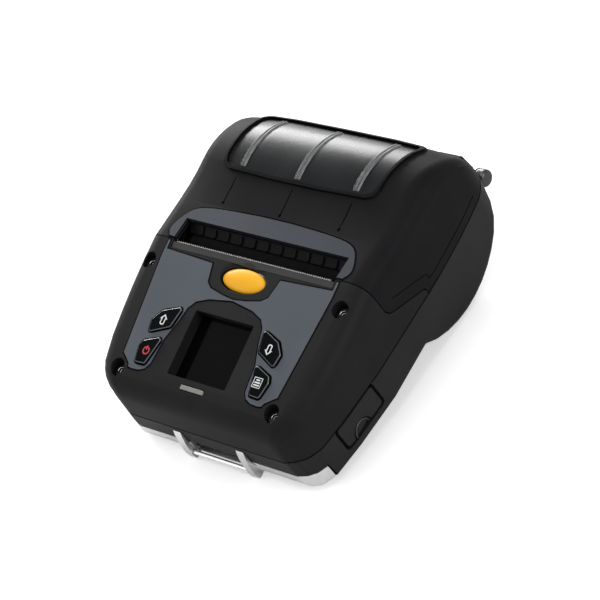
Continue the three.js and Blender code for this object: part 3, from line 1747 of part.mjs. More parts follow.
// The window seen from above: its front edge bows forward.
function windowOutline(margin) {
  const front = windowFrame.frontHalfWidth + margin;
  const rear = windowFrame.rearHalfWidth + margin;
  return rounded(
    [
      point(-front, windowFrame.frontY - margin),
      point(-front / 3, windowFrame.frontY - windowFrame.bow - margin),
      point(front / 3, windowFrame.frontY - windowFrame.bow - margin),
      point(front, windowFrame.frontY - margin),
      point(rear, windowFrame.rearY + margin),
      point(-rear, windowFrame.rearY + margin),
    ],
    [windowFrame.corner, front, front, windowFrame.corner, windowFrame.corner / 2, windowFrame.corner / 2],
    2,
  );
}

const windowPrism = (margin) => prism(windowOutline(margin), dome.z + overrun, farZ, alongZ);

const slotRoom = () =>
  midBox(slot.halfWidth, seamY - overrun, slot.rearY, dome.z, farZ);

function lidSolid() {
  let shell = lidForm(0).subtract(lidInside).intersect(lidZone);
  shell = shell.add(windowLedge()).add(windowRimSolid());
  shell = shell.subtract(windowPrism(seatGap).subtract(underWindow));
  shell = shell.subtract(windowPrism(-skin));
  shell = shell.subtract(prism(archOutline(seatGap), archBedZ, farZ, alongZ));
  shell = shell.subtract(slotRoom());
  shell = shell.add(lidKnuckles()).subtract(hingeBore()).subtract(knuckleRoom());
  for (let k = -1; k <= 1; k++) {
    const x = k * lidMarks.pitch;
    const deep = lidTopZ - lidMarks.depth;
    shell = shell.subtract(
      box(x - lidMarks.width / 2, x + lidMarks.width / 2, lidMarks.frontY, lidMarks.rearY, deep, farZ),
    );
    shell = shell.subtract(roundZ(lidMarks.dot, deep, farZ, x, lidMarks.frontY, 12));
  }
  return shell.subtract(skirtGroove());
}

// A fine groove along the skirt of the lid, a step above its lower edge.
function skirtGroove() {
  const high = skirtLine.rise + skirtLine.width;
  const band = lidRegion(skirtLine.rise, skirtLine.rise).subtract(lidRegion(high, high));
  const core = outerForm(skirtLine.depth, edgeSteps);
  const sides = box(-farX, farX, seamY + overrun, form.rearY - form.rearCornerRadius, 0, lidTopZ - overrun);
  return band.subtract(core).intersect(sides);
}

// A ledge under the window's edge that the pane rests on, and a raised bead round the window.
const underWindow = lidForm(wall - seatGap);
const windowLedge = () => underWindow.subtract(lidForm(wall + skin)).intersect(windowPrism(skin + wall));

function windowRimSolid() {
  const ring = windowPrism(windowRim.width).subtract(windowPrism(seatGap));
  return lidForm(-windowRim.rise).subtract(lidInside).intersect(ring);
}

const knuckleRoom = () => {
  const half = caseKnuckle.width / 2 + slideGap;
  const ring = roundX(
    hinge.knuckleRadius + slideGap,
    caseKnuckle.x - half,
    caseKnuckle.x + half,
    hinge.y,
    hinge.z,
    24,
  );
  return bothSides(ring);
};

// The curved pane with its pairs of raised ribs.
function windowPaneSolid() {
  const outer = lidForm(-windowPane.proud);
  const ribTop = lidForm(-windowPane.proud - windowPane.rib);
  const inner = lidForm(wall - 2 * seatGap);
  let pane = outer.subtract(inner).intersect(windowPrism(0));
  const ribSkin = ribTop.subtract(lidForm(skin / 2)).intersect(windowPrism(-skin));
  for (let k = 0; k < windowRibs; k++) {
    const middle = (k - (windowRibs - 1) / 2) * windowPane.ribPitch;
    for (const side of [-1, 1]) {
      const x = middle + (side * windowPane.ribSpread) / 2;
      const half = windowPane.ribWidth / 2;
      pane = pane.add(ribSkin.intersect(box(x - half, x + half, -farY, farY, dome.z, farZ)));
    }
  }
  return pane;
}

function lidFrame() {
  const plate = prism(archOutline(0), archBedZ + seatGap, lidTopZ + arch.proud, alongZ);
  const front = midBox(slot.halfWidth, seamY - overrun, slot.rearY, 0, farZ);
  const case_ = outside.add(prism(archOutline(overrun), lidTopZ - wall, lidTopZ + arch.proud, alongZ));
  return plate.intersect(case_).subtract(front);
}

// Ridged wall behind the slot with the two arms that carry the platen.
function platenHolder() {
  const slab = prism(
    [
      point(holder.bottomY, holder.bottomZ),
      point(holder.bottomY + holder.wallThickness, holder.bottomZ),
      point(holder.topY + holder.wallThickness, holder.topZ),
      point(holder.topY, holder.topZ),
    ],
    -holder.halfLength,
    holder.halfLength,
    alongX,
  );
  const top = point(holder.topY, holder.topZ);
  const nose = point(holder.noseY, holder.noseZ);
  const lip = prism(
    [
      point(holder.topY + skin, holder.topZ),
      top,
      nose,
      point(holder.noseY, platen.z),
      point(holder.topY + skin, platen.z),
    ],
    -slot.halfWidth,
    slot.halfWidth,
    alongX,
  );
  const down = nose.clone().sub(top).normalize();
  const out = point(down.y, -down.x);
  const onFace = (along, proud) =>
    top.clone().lerp(nose, along).add(out.clone().multiplyScalar(proud));
  const ridges = [];
  for (let k = 0; k < holder.ridgeCount; k++) {
    const x = (k - (holder.ridgeCount - 1) / 2) * ((2 * slot.halfWidth) / (holder.ridgeCount + 1));
    ridges.push(
      prism(
        [
          onFace(ridgeShares.top, -holder.ridgeRoot),
          onFace(ridgeShares.top, holder.ridgeDepth),
          onFace(ridgeShares.bend, holder.ridgeDepth),
          onFace(ridgeShares.foot, 0),
          onFace(ridgeShares.foot, -holder.ridgeRoot),
        ],
        x - holder.ridgeWidth / 2,
        x + holder.ridgeWidth / 2,
        alongX,
      ),
    );
  }
  const armEnd = holder.halfLength;
  const arm = roundX(holder.armRadius, holder.armX, armEnd, platen.y, platen.z, 24).add(
    prism(
      [
        point(platen.y, platen.z - holder.armRadius),
        point(holder.bottomY + skin, holder.bottomZ),
        point(holder.topY + skin, holder.topZ),
        point(platen.y, platen.z + holder.armRadius),
      ],
      holder.armX,
      armEnd,
      alongX,
    ),
  );
  const seatHole = roundX(bush.radius + seatGap, -farX, farX, platen.y, platen.z, 24);
  const room = roundX(platen.radius + 2 * slideGap, -holder.armX, holder.armX, platen.y, platen.z, 24);
  return slab.add(lip).add(joined(ridges)).subtract(room).add(bothSides(arm)).subtract(seatHole);
}

// Paper guides on racks that share one pinion

const rackPitch = Math.PI * guideRack.module;
const guidePinionRadius = (guideRack.module * guideRack.teeth) / 2;
const guideTravel = (paper.width - paper.narrow) / 2;
const guideInnerX = paper.width / 2 + seatGap;
const armTop = polar(guide.y, guide.z, guide.radius - skin, guideArm.angle);

// The guide's arm in the side view, from the disc down through the trough wall to its rack.
function armOutline(margin, footY) {
  const half = guideArm.width / 2 + margin;
  return [
    point(armTop.x + half, armTop.y + half),
    point(armTop.x - half, armTop.y + half),
    point(footY - margin, guideRack.z + guideRack.height + margin),
    point(footY - margin, guideRack.z - margin),
    point(armTop.x + half, guideRack.z - margin),
  ];
}

const guideSlots = () =>
  bothSides(
    prism(
      armOutline(guideArm.slack, guideRack.y - 2 * guidePinionRadius),
      guideInnerX - guideTravel - guideArm.slack,
      guideInnerX + guide.thickness + guideArm.slack,
      alongX,
    ),
  );

// A shelf over the belly that the racks slide on.
const rackShelf = () =>
  box(
    -rackShelfSize.halfWidth - overrun,
    rackShelfSize.halfWidth + overrun,
    rackShelfSize.frontY,
    rackShelfSize.rearY,
    guideRack.z - seatGap - skin,
    guideRack.z - seatGap,
  );

const guideStud = () =>
  roundZ(
    drive.studRadius,
    guideRack.z - seatGap - skin / 2,
    guideRack.z + guideRack.height + skin,
    0,
    guideRack.y,
    12,
  );

function rollHolder(side) {
  const outer = guideInnerX + guide.thickness;
  const disc = roundX(guide.radius, guideInnerX, outer, guide.y, guide.z, 40);
  const hubStart = guideInnerX - guide.hubLength;
  const hub = roundX(guide.hubRadius, hubStart, guideInnerX + skin, guide.y, guide.z, 24);
  const bore = roundX(guide.hubRadius - skin, 0, farX, guide.y, guide.z, 20);
  const backY = guideRack.y + side * -guidePinionRadius;
  const foot = side > 0 ? backY - guideRack.module - guideRack.backing : backY;
  const arm = prism(armOutline(0, foot), guideInnerX, outer, alongX);
  const body = disc.add(hub).subtract(bore).add(arm).add(rack(side));
  return side < 0 ? mirrored(body) : body;
}

// A toothed bar from the guide towards the middle; the right one runs in front of the pinion
// and the left one behind it.
function rack(side) {
  const pitchY = guideRack.y - side * guidePinionRadius;
  const away = -side * guideRack.module;
  const backY = pitchY + away - side * guideRack.backing;
  const start = guideInnerX + guide.thickness;
  const outline = [point(start, backY), point(start, pitchY + away)];
  const first = Math.floor((guideInnerX - rackPitch) / rackPitch);
  const count = Math.floor(guideRack.length / rackPitch);
  for (let k = 0; k < count; k++) {
    const x = (first - k) * rackPitch;
    for (const [share, rise] of rackToothShares)
      outline.push(point(x + (share * rackPitch) / 2, pitchY - away * rise));
  }
  const reach = guideInnerX - guideRack.length;
  outline.push(point(reach, pitchY + away));
  outline.push(point(reach, backY));
  if (side > 0) outline.reverse();
  return prism(outline, guideRack.z, guideRack.z + guideRack.height, alongZ);
}

function guidePinion() {
  const outline = gearOutline(guideRack.teeth, guideRack.module, point(0, guideRack.y), pinionGap);
  const disc = prism(outline, guideRack.z, guideRack.z + guideRack.height, alongZ);
  return disc.subtract(roundZ(drive.studRadius + drive.boreGap, -overrun, overrun, 0, guideRack.y, 16));
}

// Build the assembly

const printer = new THREE.Group();

function place(name, solid, look) {
  const mesh = new THREE.Mesh(geometryOf(solid), new THREE.MeshStandardMaterial(look));
  mesh.name = name;
  printer.add(mesh);
}

place("bottom_case", bottomCase(), black);
place("top_case", topCase(), black);
place("control_panel", controlPanel(), slate);
place("lcd_window", lcdLens(), glossBlack);
place("lcd_module", lcdModule(), greyMetal);
place("status_led", statusLed(), pale);
for (const key of keyList) place(key.name, keyCap(key), glossBlack);
place("release_button", releaseButton(), amber);
for (const spot of screwList) place(spot.name, caseScrew(spot), softBlack);
place("tear_bar", tearBarSolid(), softBlack);
place("chassis", chassisSolid(), brightSteel);
place("print_head", printHead(), whitePlastic);
place("head_bracket", headSink(), silver);
place("head_spring_left", headSpringSolid(-1), brightSteel);
place("head_spring_right", headSpringSolid(1), brightSteel);
place("latch_lever", latchLever(), brightSteel);
place("latch_shaft", latchShaft(), brightSteel);
place("stepper_motor", stepperMotor(), silver);
place("motor_pinion", motorPinion(), whitePlastic);
place("idler_gear", idlerGear(), whitePlastic);
place("idler_stud", idlerStud(), brightSteel);
place("platen_gear", platenGear(), whitePlastic);
place("platen_roller", platenRoller(), rubber);
place("platen_shaft", platenShaft(), brightSteel);
place("platen_bush_right", platenBush(), softBlack);
place("platen_bush_left", mirrored(platenBush()), softBlack);
place("platen_holder", platenHolder(), softBlack);
place("lid", lidSolid(), black);
place("lid_frame", lidFrame(), slate);
place("lid_window", windowPaneSolid(), smoky);
place("hinge_rod", hingeRod(), greyMetal);
place("roll_holder_right", rollHolder(1), softBlack);
place("roll_holder_left", rollHolder(-1), softBlack);
place("holder_pinion", guidePinion(), whitePlastic);
place("main_board", mainBoardSolid(), boardGreen);
place("panel_board", panelBoardSolid(), boardGreen);
place("battery_pack", batteryPack(), batteryGrey);
place("battery_contacts", batteryContacts(), brightSteel);
place("battery_catch", batteryCatch(), softBlack);
place("strap_bracket", strapBracket(), silver);
place("strap_bar", strapBarSolid(), brightSteel);
place("connector_cover", connectorFlap(), black);
place("usb_socket", usbSocket(), silver);
place("dc_socket", dcSocket(), softBlack);

// Stand the printer on its belly and its lugs, over the middle of its own footprint
const lugReach = point(belly.y - (form.frontY + lug.frontY) / 2, belly.z - lug.bottomZ);
const tilt = Math.atan2(lugReach.x, lugReach.y) - Math.acos(belly.radius / lugReach.length());
printer.rotation.x = tilt;
printer.updateMatrixWorld(true);
const footprint = new THREE.Box3().setFromObject(printer, true);
const middle = footprint.getCenter(new THREE.Vector3());
printer.position.set(0, -middle.y, -footprint.min.z);

export default printer;
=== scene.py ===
import json
from math import atan, atan2, cos, pi, radians

import bmesh
import bpy
from mathutils import Matrix, Vector
from mathutils.bvhtree import BVHTree


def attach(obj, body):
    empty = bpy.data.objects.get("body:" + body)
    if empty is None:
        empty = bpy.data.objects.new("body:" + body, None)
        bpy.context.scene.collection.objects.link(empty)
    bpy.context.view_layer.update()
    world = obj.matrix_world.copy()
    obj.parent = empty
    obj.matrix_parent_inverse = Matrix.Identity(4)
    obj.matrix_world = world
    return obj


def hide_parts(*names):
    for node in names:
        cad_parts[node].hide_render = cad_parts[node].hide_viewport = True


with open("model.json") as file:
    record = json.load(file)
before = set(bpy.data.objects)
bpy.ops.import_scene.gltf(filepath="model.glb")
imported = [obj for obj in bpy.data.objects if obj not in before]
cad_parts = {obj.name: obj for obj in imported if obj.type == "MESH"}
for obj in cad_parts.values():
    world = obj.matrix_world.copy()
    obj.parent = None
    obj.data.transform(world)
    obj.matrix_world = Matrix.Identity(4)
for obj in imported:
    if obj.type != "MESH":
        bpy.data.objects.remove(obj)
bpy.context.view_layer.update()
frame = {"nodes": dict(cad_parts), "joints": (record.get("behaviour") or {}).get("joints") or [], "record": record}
nodes = frame["nodes"]

# Camera. A long lens looks down on the printer from its right front, as the photograph does.
# It stands about a metre off, so the near lines hardly draw together.
camera = bpy.data.objects.new("camera", bpy.data.cameras.new("camera"))
bpy.context.scene.collection.objects.link(camera)
camera.data.lens = 158.03
camera.data.sensor_width = 36
camera.data.clip_start = 0.05
camera.data.clip_end = 20
camera.location = (0.679641, -0.407394, 0.687025)
camera.rotation_euler = (radians(45.082675), radians(24.222933), radians(36.982383))
bpy.context.scene.camera = camera
bpy.context.scene.view_settings.view_transform = "Standard"


# Table and room. The table is a sheet of matt white studio paper and keeps the printer's shadow.
# The camera sees it a little brighter than it lights, so that it runs out into the white room.
def material(name, colour=(0.8, 0.8, 0.8), roughness=0.5, metallic=0.0):
    made = bpy.data.materials.new(name)
    made.use_nodes = True
    shader = made.node_tree.nodes["Principled BSDF"]
    shader.inputs["Base Color"].default_value = (*colour, 1)
    shader.inputs["Roughness"].default_value = roughness
    shader.inputs["Metallic"].default_value = metallic
    return made, shader


def add_node(tree, kind, settings=(), **sockets):
    node = tree.nodes.new(kind)
    for name, value in dict(settings).items():
        setattr(node, name, value)
    for name, value in sockets.items():
        node.inputs[name.replace("_", " ")].default_value = value
    return node


def link_piece(name, data):
    piece = bpy.data.objects.new(name, data)
    bpy.context.scene.collection.objects.link(piece)
    return piece


paper, paper_shader = material("table_paper", (0.86, 0.86, 0.86), 0.9)
paper_tree = paper.node_tree
seen = add_node(paper_tree, "ShaderNodeLightPath")
glow = add_node(paper_tree, "ShaderNodeEmission", Strength=0.45)
lit_paper = add_node(paper_tree, "ShaderNodeAddShader")
paper_choice = add_node(paper_tree, "ShaderNodeMixShader")
paper_tree.links.new(paper_shader.outputs["BSDF"], lit_paper.inputs[0])
paper_tree.links.new(glow.outputs["Emission"], lit_paper.inputs[1])
paper_tree.links.new(seen.outputs["Is Camera Ray"], paper_choice.inputs["Fac"])
paper_tree.links.new(paper_shader.outputs["BSDF"], paper_choice.inputs[1])
paper_tree.links.new(lit_paper.outputs["Shader"], paper_choice.inputs[2])
paper_end = paper_tree.nodes["Material Output"]
paper_tree.links.new(paper_choice.outputs["Shader"], paper_end.inputs["Surface"])

table_half = 4
table_form = bmesh.new()
bmesh.ops.create_grid(table_form, x_segments=1, y_segments=1, size=table_half)
table_mesh = bpy.data.meshes.new("table")
table_form.to_mesh(table_mesh)
table_form.free()
table_mesh.materials.append(paper)
table = link_piece("table", table_mesh)

world = bpy.data.worlds.new("white_room")
bpy.context.scene.world = world
world.use_nodes = True
room = world.node_tree
room_light = room.nodes["Background"]
room_light.inputs["Color"].default_value = (1, 1, 1, 1)
room_light.inputs["Strength"].default_value = 0.3
room_white = add_node(room, "ShaderNodeBackground", Strength=1.0)
room_path = add_node(room, "ShaderNodeLightPath")
mirror_or_camera = add_node(room, "ShaderNodeMath", {"operation": "MAXIMUM"})
any_white = add_node(room, "ShaderNodeMath", {"operation": "MAXIMUM"})
room_choice = add_node(room, "ShaderNodeMixShader")
room.links.new(room_path.outputs["Is Camera Ray"], mirror_or_camera.inputs[0])
room.links.new(room_path.outputs["Is Glossy Ray"], mirror_or_camera.inputs[1])
room.links.new(mirror_or_camera.outputs["Value"], any_white.inputs[0])
room.links.new(room_path.outputs["Is Transmission Ray"], any_white.inputs[1])
room.links.new(any_white.outputs["Value"], room_choice.inputs["Fac"])
room.links.new(room_light.outputs["Background"], room_choice.inputs[1])
room.links.new(room_white.outputs["Background"], room_choice.inputs[2])
room.links.new(room_choice.outputs["Shader"], room.nodes["World Output"].inputs["Surface"])


# Lamps. Four softboxes: a wide one overhead, one low behind for the window, one on the right
# and one in front on the left that puts a sheen on the slate panel.
def softbox(name, place, size, watts, aim=(0, 0, 0.03)):
    lamp = bpy.data.lights.new(name, "AREA")
    lamp.shape = "RECTANGLE"
    lamp.size, lamp.size_y = size
    lamp.energy = watts
    stand = bpy.data.objects.new(name, lamp)
    bpy.context.scene.collection.objects.link(stand)
    stand.location = place
    way = Vector(aim) - Vector(place)
    stand.rotation_euler = way.to_track_quat("-Z", "Y").to_euler()


softbox("overhead_softbox", (-0.1, 0.1, 1.4), (1.1, 0.8), 8)
softbox("window_softbox", (-1.33, 0.97, 0.45), (1.3, 0.6), 39, aim=(0, 0.03, 0.06))
softbox("right_softbox", (1.3, 0.2, 0.6), (0.6, 0.6), 8)
softbox("front_softbox", (-1.1, -0.75, 1.0), (0.8, 0.5), 3.4)


# The printer leans on its lugs. Sizes below are millimetres in its own level frame, whose
# hinge lies 38.1 behind and 13.7 above its origin; own_frame sets them in place.
mm = 0.001
hinge_y, hinge_z = 38.1, 13.7
joints = {joint["name"]: joint for joint in frame["joints"]}
mounts = {mount["name"]: mount for mount in frame["record"]["mounts"]}
underside_axis = mounts["underside"]["axis"]
lean = atan2(underside_axis[1], -underside_axis[2])
own_frame = (
    Matrix.Translation(joints["lid_open"]["pos_m"])
    @ Matrix.Rotation(lean, 4, "X")
    @ Matrix.Scale(mm, 4)
    @ Matrix.Translation((0, -hinge_y, -hinge_z))
)

# Case shells. Three black ABS mouldings with a fine spark-eroded grain: the tray below, the front
# cover that holds the keys, and the lid over the roll. The tray is drawn a tone lighter and the lid a
# tone darker than the front cover, as painted light and painted shade. Four screws hold the tray and
# the front cover together; every rim is broken and its bevel is painted near-black as painted shade,
# so that the seams read as dark lines.
pit_depth = 0.08
weld_reach = 0.003
flat_angle = 0.6


def moulded(name, dark, light, roughness, gloss=0.5, cloud=45, grain=2400, relief=0.25):
    made, shader = material(name, roughness=roughness)
    tree = made.node_tree
    shader.inputs["Specular IOR Level"].default_value = gloss
    place = add_node(tree, "ShaderNodeTexCoord")
    patches = add_node(tree, "ShaderNodeTexNoise", Scale=cloud, Detail=4.0)
    tones = add_node(tree, "ShaderNodeValToRGB")
    tones.color_ramp.elements[0].position = 0.35
    tones.color_ramp.elements[0].color = (*dark, 1)
    tones.color_ramp.elements[1].position = 0.65
    tones.color_ramp.elements[1].color = (*light, 1)
    pits = add_node(tree, "ShaderNodeTexNoise", Scale=grain, Detail=2.0)
    dull = add_node(tree, "ShaderNodeMapRange", To_Min=roughness - 0.05, To_Max=roughness + 0.07)
    bump = add_node(tree, "ShaderNodeBump", Strength=relief, Distance=pit_depth * mm)
    tree.links.new(place.outputs["Object"], patches.inputs["Vector"])
    tree.links.new(patches.outputs["Fac"], tones.inputs["Fac"])
    tree.links.new(tones.outputs["Color"], shader.inputs["Base Color"])
    tree.links.new(place.outputs["Object"], pits.inputs["Vector"])
    tree.links.new(patches.outputs["Fac"], dull.inputs["Value"])
    tree.links.new(dull.outputs["Result"], shader.inputs["Roughness"])
    tree.links.new(pits.outputs["Fac"], bump.inputs["Height"])
    tree.links.new(bump.outputs["Normal"], shader.inputs["Normal"])
    return made, shader


def softened(
    node_name, piece_name, body, made, edge, segments=2, sharp=30, rim=None, clamp=True
):
    form = bmesh.new()
    form.from_mesh(nodes[node_name].data)
    bmesh.ops.remove_doubles(form, verts=form.verts, dist=weld_reach * mm)
    flat = radians(flat_angle)
    bmesh.ops.dissolve_limit(form, angle_limit=flat, verts=form.verts, edges=form.edges)
    for face in form.faces:
        face.smooth = True
    for crease in form.edges:
        crease.smooth = crease.calc_face_angle(0) < radians(sharp)
    mesh = bpy.data.meshes.new(piece_name)
    form.to_mesh(mesh)
    form.free()
    mesh.materials.append(made)
    piece = link_piece(piece_name, mesh)
    rounding = piece.modifiers.new("soft_edge", "BEVEL")
    rounding.width = edge * mm
    rounding.segments = segments
    rounding.limit_method = "ANGLE"
    rounding.angle_limit = radians(sharp)
    rounding.use_clamp_overlap = clamp
    if rim:
        mesh.materials.append(rim)
        rounding.material = 1
    shading = piece.modifiers.new("even_shading", "WEIGHTED_NORMAL")
    shading.keep_sharp = True
    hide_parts(node_name)
    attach(piece, body)
    return piece


black_plastic, _ = moulded(
    "black_plastic", (0.0120, 0.0120, 0.0130), (0.0155, 0.0155, 0.0165), 0.5, gloss=0.07
)
# Near-black painted shade for broken rims and the window bead: it draws seams and grooves as dark lines.
painted_shade_black, _ = moulded(
    "painted_shade_black", (0.0030, 0.0030, 0.0032), (0.0050, 0.0050, 0.0052), 0.6, gloss=0.05
)
# The tray's copy is a tone lighter as painted light, and the lid's a tone darker as painted shade.
lit_tray_black, _ = moulded(
    "lit_tray_black", (0.0170, 0.0170, 0.0180), (0.0215, 0.0215, 0.0225), 0.5, gloss=0.1
)
shaded_lid_black, _ = moulded(
    "shaded_lid_black", (0.0100, 0.0100, 0.0110), (0.0130, 0.0130, 0.0140), 0.5, gloss=0.03
)
tray_edge, shell_edge = 0.5, 0.35
softened(
    "bottom_case", "lower_shell", "case", lit_tray_black, tray_edge,
    rim=painted_shade_black, clamp=False,
)
softened(
    "top_case", "front_shell", "case", black_plastic, shell_edge, rim=painted_shade_black
)
lid_shell = softened(
    "lid", "lid_shell", "cover", shaded_lid_black, shell_edge, rim=painted_shade_black
)


# Battery. A charcoal ABS pack drops out of the underside, held by a ribbed sliding catch.
# Its three plated spring blades hang from the roof of the bay.
def paint(made, *names):
    for name in names:
        data = nodes[name].data
        data.materials.clear()
        data.materials.append(made)


battery_plastic, _ = moulded(
    "battery_plastic", (0.030, 0.032, 0.036), (0.038, 0.040, 0.045), 0.55, gloss=0.35
)
softened("battery_pack", "battery_body", "battery", battery_plastic, 0.4)
softened("battery_catch", "catch_plate", "catch", black_plastic, 0.2)


scratch_depth = 0.05


def metal(name, dark, light, roughness, metallic=1.0, cloud=120, streak=(1, 1, 1)):
    made, shader = material(name, roughness=roughness, metallic=metallic)
    tree = made.node_tree
    place = add_node(tree, "ShaderNodeTexCoord")
    drawn = add_node(tree, "ShaderNodeMapping", Scale=streak)
    marks = add_node(tree, "ShaderNodeTexNoise", Scale=cloud, Detail=5.0)
    tones = add_node(tree, "ShaderNodeValToRGB")
    tones.color_ramp.elements[0].position = 0.3
    tones.color_ramp.elements[0].color = (*dark, 1)
    tones.color_ramp.elements[1].position = 0.7
    tones.color_ramp.elements[1].color = (*light, 1)
    dull = add_node(tree, "ShaderNodeMapRange", To_Min=roughness - 0.06, To_Max=roughness + 0.08)
    bump = add_node(tree, "ShaderNodeBump", Strength=0.08, Distance=scratch_depth * mm)
    tree.links.new(place.outputs["Object"], drawn.inputs["Vector"])
    tree.links.new(drawn.outputs["Vector"], marks.inputs["Vector"])
    tree.links.new(marks.outputs["Fac"], tones.inputs["Fac"])
    tree.links.new(tones.outputs["Color"], shader.inputs["Base Color"])
    tree.links.new(marks.outputs["Fac"], dull.inputs["Value"])
    tree.links.new(dull.outputs["Result"], shader.inputs["Roughness"])
    tree.links.new(marks.outputs["Fac"], bump.inputs["Height"])
    tree.links.new(bump.outputs["Normal"], shader.inputs["Normal"])
    return made, shader


bright_steel, _ = metal("bright_steel", (0.55, 0.55, 0.56), (0.68, 0.68, 0.69), 0.25, streak=(1, 6, 6))
paint(bright_steel, "battery_contacts")

# Circuit boards. Green solder mask over glass laminate; the panel board carries the dome
# switches under the keys, and the main board sits on posts above the battery bay.
solder_mask, _ = moulded(
    "solder_mask", (0.008, 0.075, 0.030), (0.014, 0.11, 0.042), 0.35, cloud=220
)
paint(solder_mask, "main_board", "panel_board")

# Print mechanism. A bent steel chassis carries the stepper motor and its gears, and two coil
# springs push the ceramic print head, stiffened by an aluminium bracket, against the platen.
chassis_steel, _ = metal("chassis_steel", (0.34, 0.35, 0.36), (0.44, 0.45, 0.46), 0.38, streak=(6, 1, 1))
motor_can, _ = metal("motor_can", (0.48, 0.48, 0.49), (0.58, 0.58, 0.59), 0.42)
cast_aluminium, _ = metal("cast_aluminium", (0.42, 0.42, 0.43), (0.50, 0.50, 0.51), 0.5)
head_ceramic, _ = moulded(
    "head_ceramic", (0.60, 0.57, 0.50), (0.68, 0.65, 0.58), 0.3, cloud=160
)
gear_nylon, _ = moulded(
    "gear_nylon", (0.66, 0.65, 0.60), (0.74, 0.73, 0.68), 0.45, gloss=0.4, cloud=90
)
paint(chassis_steel, "chassis", "latch_lever")
paint(bright_steel, "latch_shaft", "head_spring_left", "head_spring_right", "idler_stud")
paint(motor_can, "stepper_motor")
paint(cast_aluminium, "head_bracket")
paint(head_ceramic, "print_head")
paint(gear_nylon, "motor_pinion", "idler_gear", "platen_gear")

# Strap shoe. A satin nickel-plated sheet wraps the front foot of the case; its two lugs are
# bent up in front, and a polished bar between them takes the webbing of the shoulder strap.
satin_nickel, _ = metal(
    "satin_nickel", (0.74, 0.74, 0.75), (0.84, 0.84, 0.85), 0.4, cloud=60, streak=(2, 1, 1)
)
softened("strap_bracket", "metal_shoe", "case", satin_nickel, 0.35, segments=3)
polished_steel, _ = metal(
    "polished_steel", (0.92, 0.92, 0.93), (0.97, 0.97, 0.98), 0.42, streak=(1, 6, 6)
)
paint(polished_steel, "strap_bar")

# Case screws. Black-oxide machine screws with hexagon sockets sit deep in round recesses.
# Where the oxide has worn, the broken rim of each head shows bare steel; its light ring also stands in as a
# painted glint in the recess.
black_oxide, _ = metal("black_oxide", (0.012, 0.012, 0.014), (0.035, 0.035, 0.038), 0.3, cloud=300)
worn_steel_and_glint, _ = metal("worn_steel_and_glint", (0.35, 0.35, 0.36), (0.62, 0.62, 0.63), 0.22, cloud=500)
for end in ("front_left", "front_right", "rear_left", "rear_right"):
    screw_name = "socket_screw_" + end
    softened(
        "case_screw_" + end, screw_name, "case", black_oxide, 0.12, rim=worn_steel_and_glint
    )

# Slate panel. A polycarbonate overlay with a fine satin face is bonded round the keys, the
# display and the release button; a second plate of it makes the arch behind the slot, drawn
# darker than the panel as painted shade. The broken edges of both are painted near-black as
# painted shade lines.
slate, _ = moulded(
    "slate_overlay", (0.041, 0.052, 0.066), (0.051, 0.063, 0.079), 0.46, gloss=0.4,
    cloud=30, relief=0.18,
)
softened(
    "control_panel", "slate_panel", "case", slate, 0.35,
    rim=painted_shade_black, clamp=False,
)
shaded_arch_slate, _ = moulded(
    "shaded_arch_slate", (0.026, 0.032, 0.042), (0.033, 0.040, 0.052), 0.48, gloss=0.12,
    cloud=30, relief=0.18,
)
softened(
    "lid_frame", "slate_arch", "cover", shaded_arch_slate, 0.4,
    rim=painted_shade_black, clamp=False,
)

# Display. A black-masked glass pane lies at the foot of a deep well in the front cover, with
# the display module behind it; below it a pale diffuser covers the row of status lamps.
masked_glass, _ = moulded(
    "masked_glass", (0.0014, 0.0015, 0.0016), (0.0022, 0.0023, 0.0025), 0.08, gloss=0.06,
    relief=0.0,
)
softened("lcd_window", "display_glass", "case", masked_glass, 0.1)
module_frame, _ = metal("module_frame", (0.36, 0.36, 0.37), (0.44, 0.44, 0.45), 0.4)
paint(module_frame, "lcd_module")
diffuser, _ = moulded(
    "diffuser", (0.22, 0.205, 0.19), (0.27, 0.255, 0.24), 0.3, gloss=0.4, cloud=260, relief=0.1
)
softened("status_led", "lamp_bar", "case", diffuser, 0.12)

# Keys. Four gloss-black caps stand proud of the slate panel, each on a dome switch; their broken
# edges are painted a lighter grey as painted highlights. Their signs are pad-printed: feed arrows,
# a red power ring, a white menu sign.
key_gloss, _ = moulded(
    "key_gloss", (0.0030, 0.0042, 0.0046), (0.0042, 0.0056, 0.0060), 0.14, gloss=0.02,
    relief=0.03,
)
key_edge_highlight, _ = moulded(
    "key_edge_highlight", (0.045, 0.048, 0.050), (0.060, 0.064, 0.066), 0.22, gloss=1.0, relief=0.03
)
for body in ("up", "down", "power", "menu"):
    softened(
        "key_" + body, body + "_cap", body, key_gloss, 0.3,
        rim=key_edge_highlight, clamp=False,
    )

panel_height = 55.9
panel_slope = atan(0.2058)
key_top = 0.9
ink_height = 0.06
tilted = Matrix.Rotation(panel_slope, 4, "X")
on_panel = own_frame @ Matrix.Translation((0, 0, panel_height)) @ tilted
white_ink, _ = moulded(
    "white_ink", (0.70, 0.71, 0.72), (0.80, 0.81, 0.82), 0.5, gloss=0.3, cloud=900, relief=0.05
)
red_ink, _ = moulded(
    "red_ink", (0.50, 0.035, 0.055), (0.60, 0.05, 0.075), 0.5, gloss=0.3, cloud=900, relief=0.05
)


def printed(form, name, body, made, across, along):
    base = bmesh.ops.extrude_face_region(form, geom=form.faces[:])
    top = [part for part in base["geom"] if isinstance(part, bmesh.types.BMVert)]
    bmesh.ops.translate(form, verts=top, vec=(0, 0, ink_height))
    bmesh.ops.recalc_face_normals(form, faces=form.faces)
    lay = on_panel @ Matrix.Translation((across, along / cos(panel_slope), key_top))
    bmesh.ops.transform(form, matrix=lay, verts=form.verts)
    mesh = bpy.data.meshes.new(name)
    form.to_mesh(mesh)
    form.free()
    mesh.materials.append(made)
    piece = link_piece(name, mesh)
    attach(piece, body)
    return piece


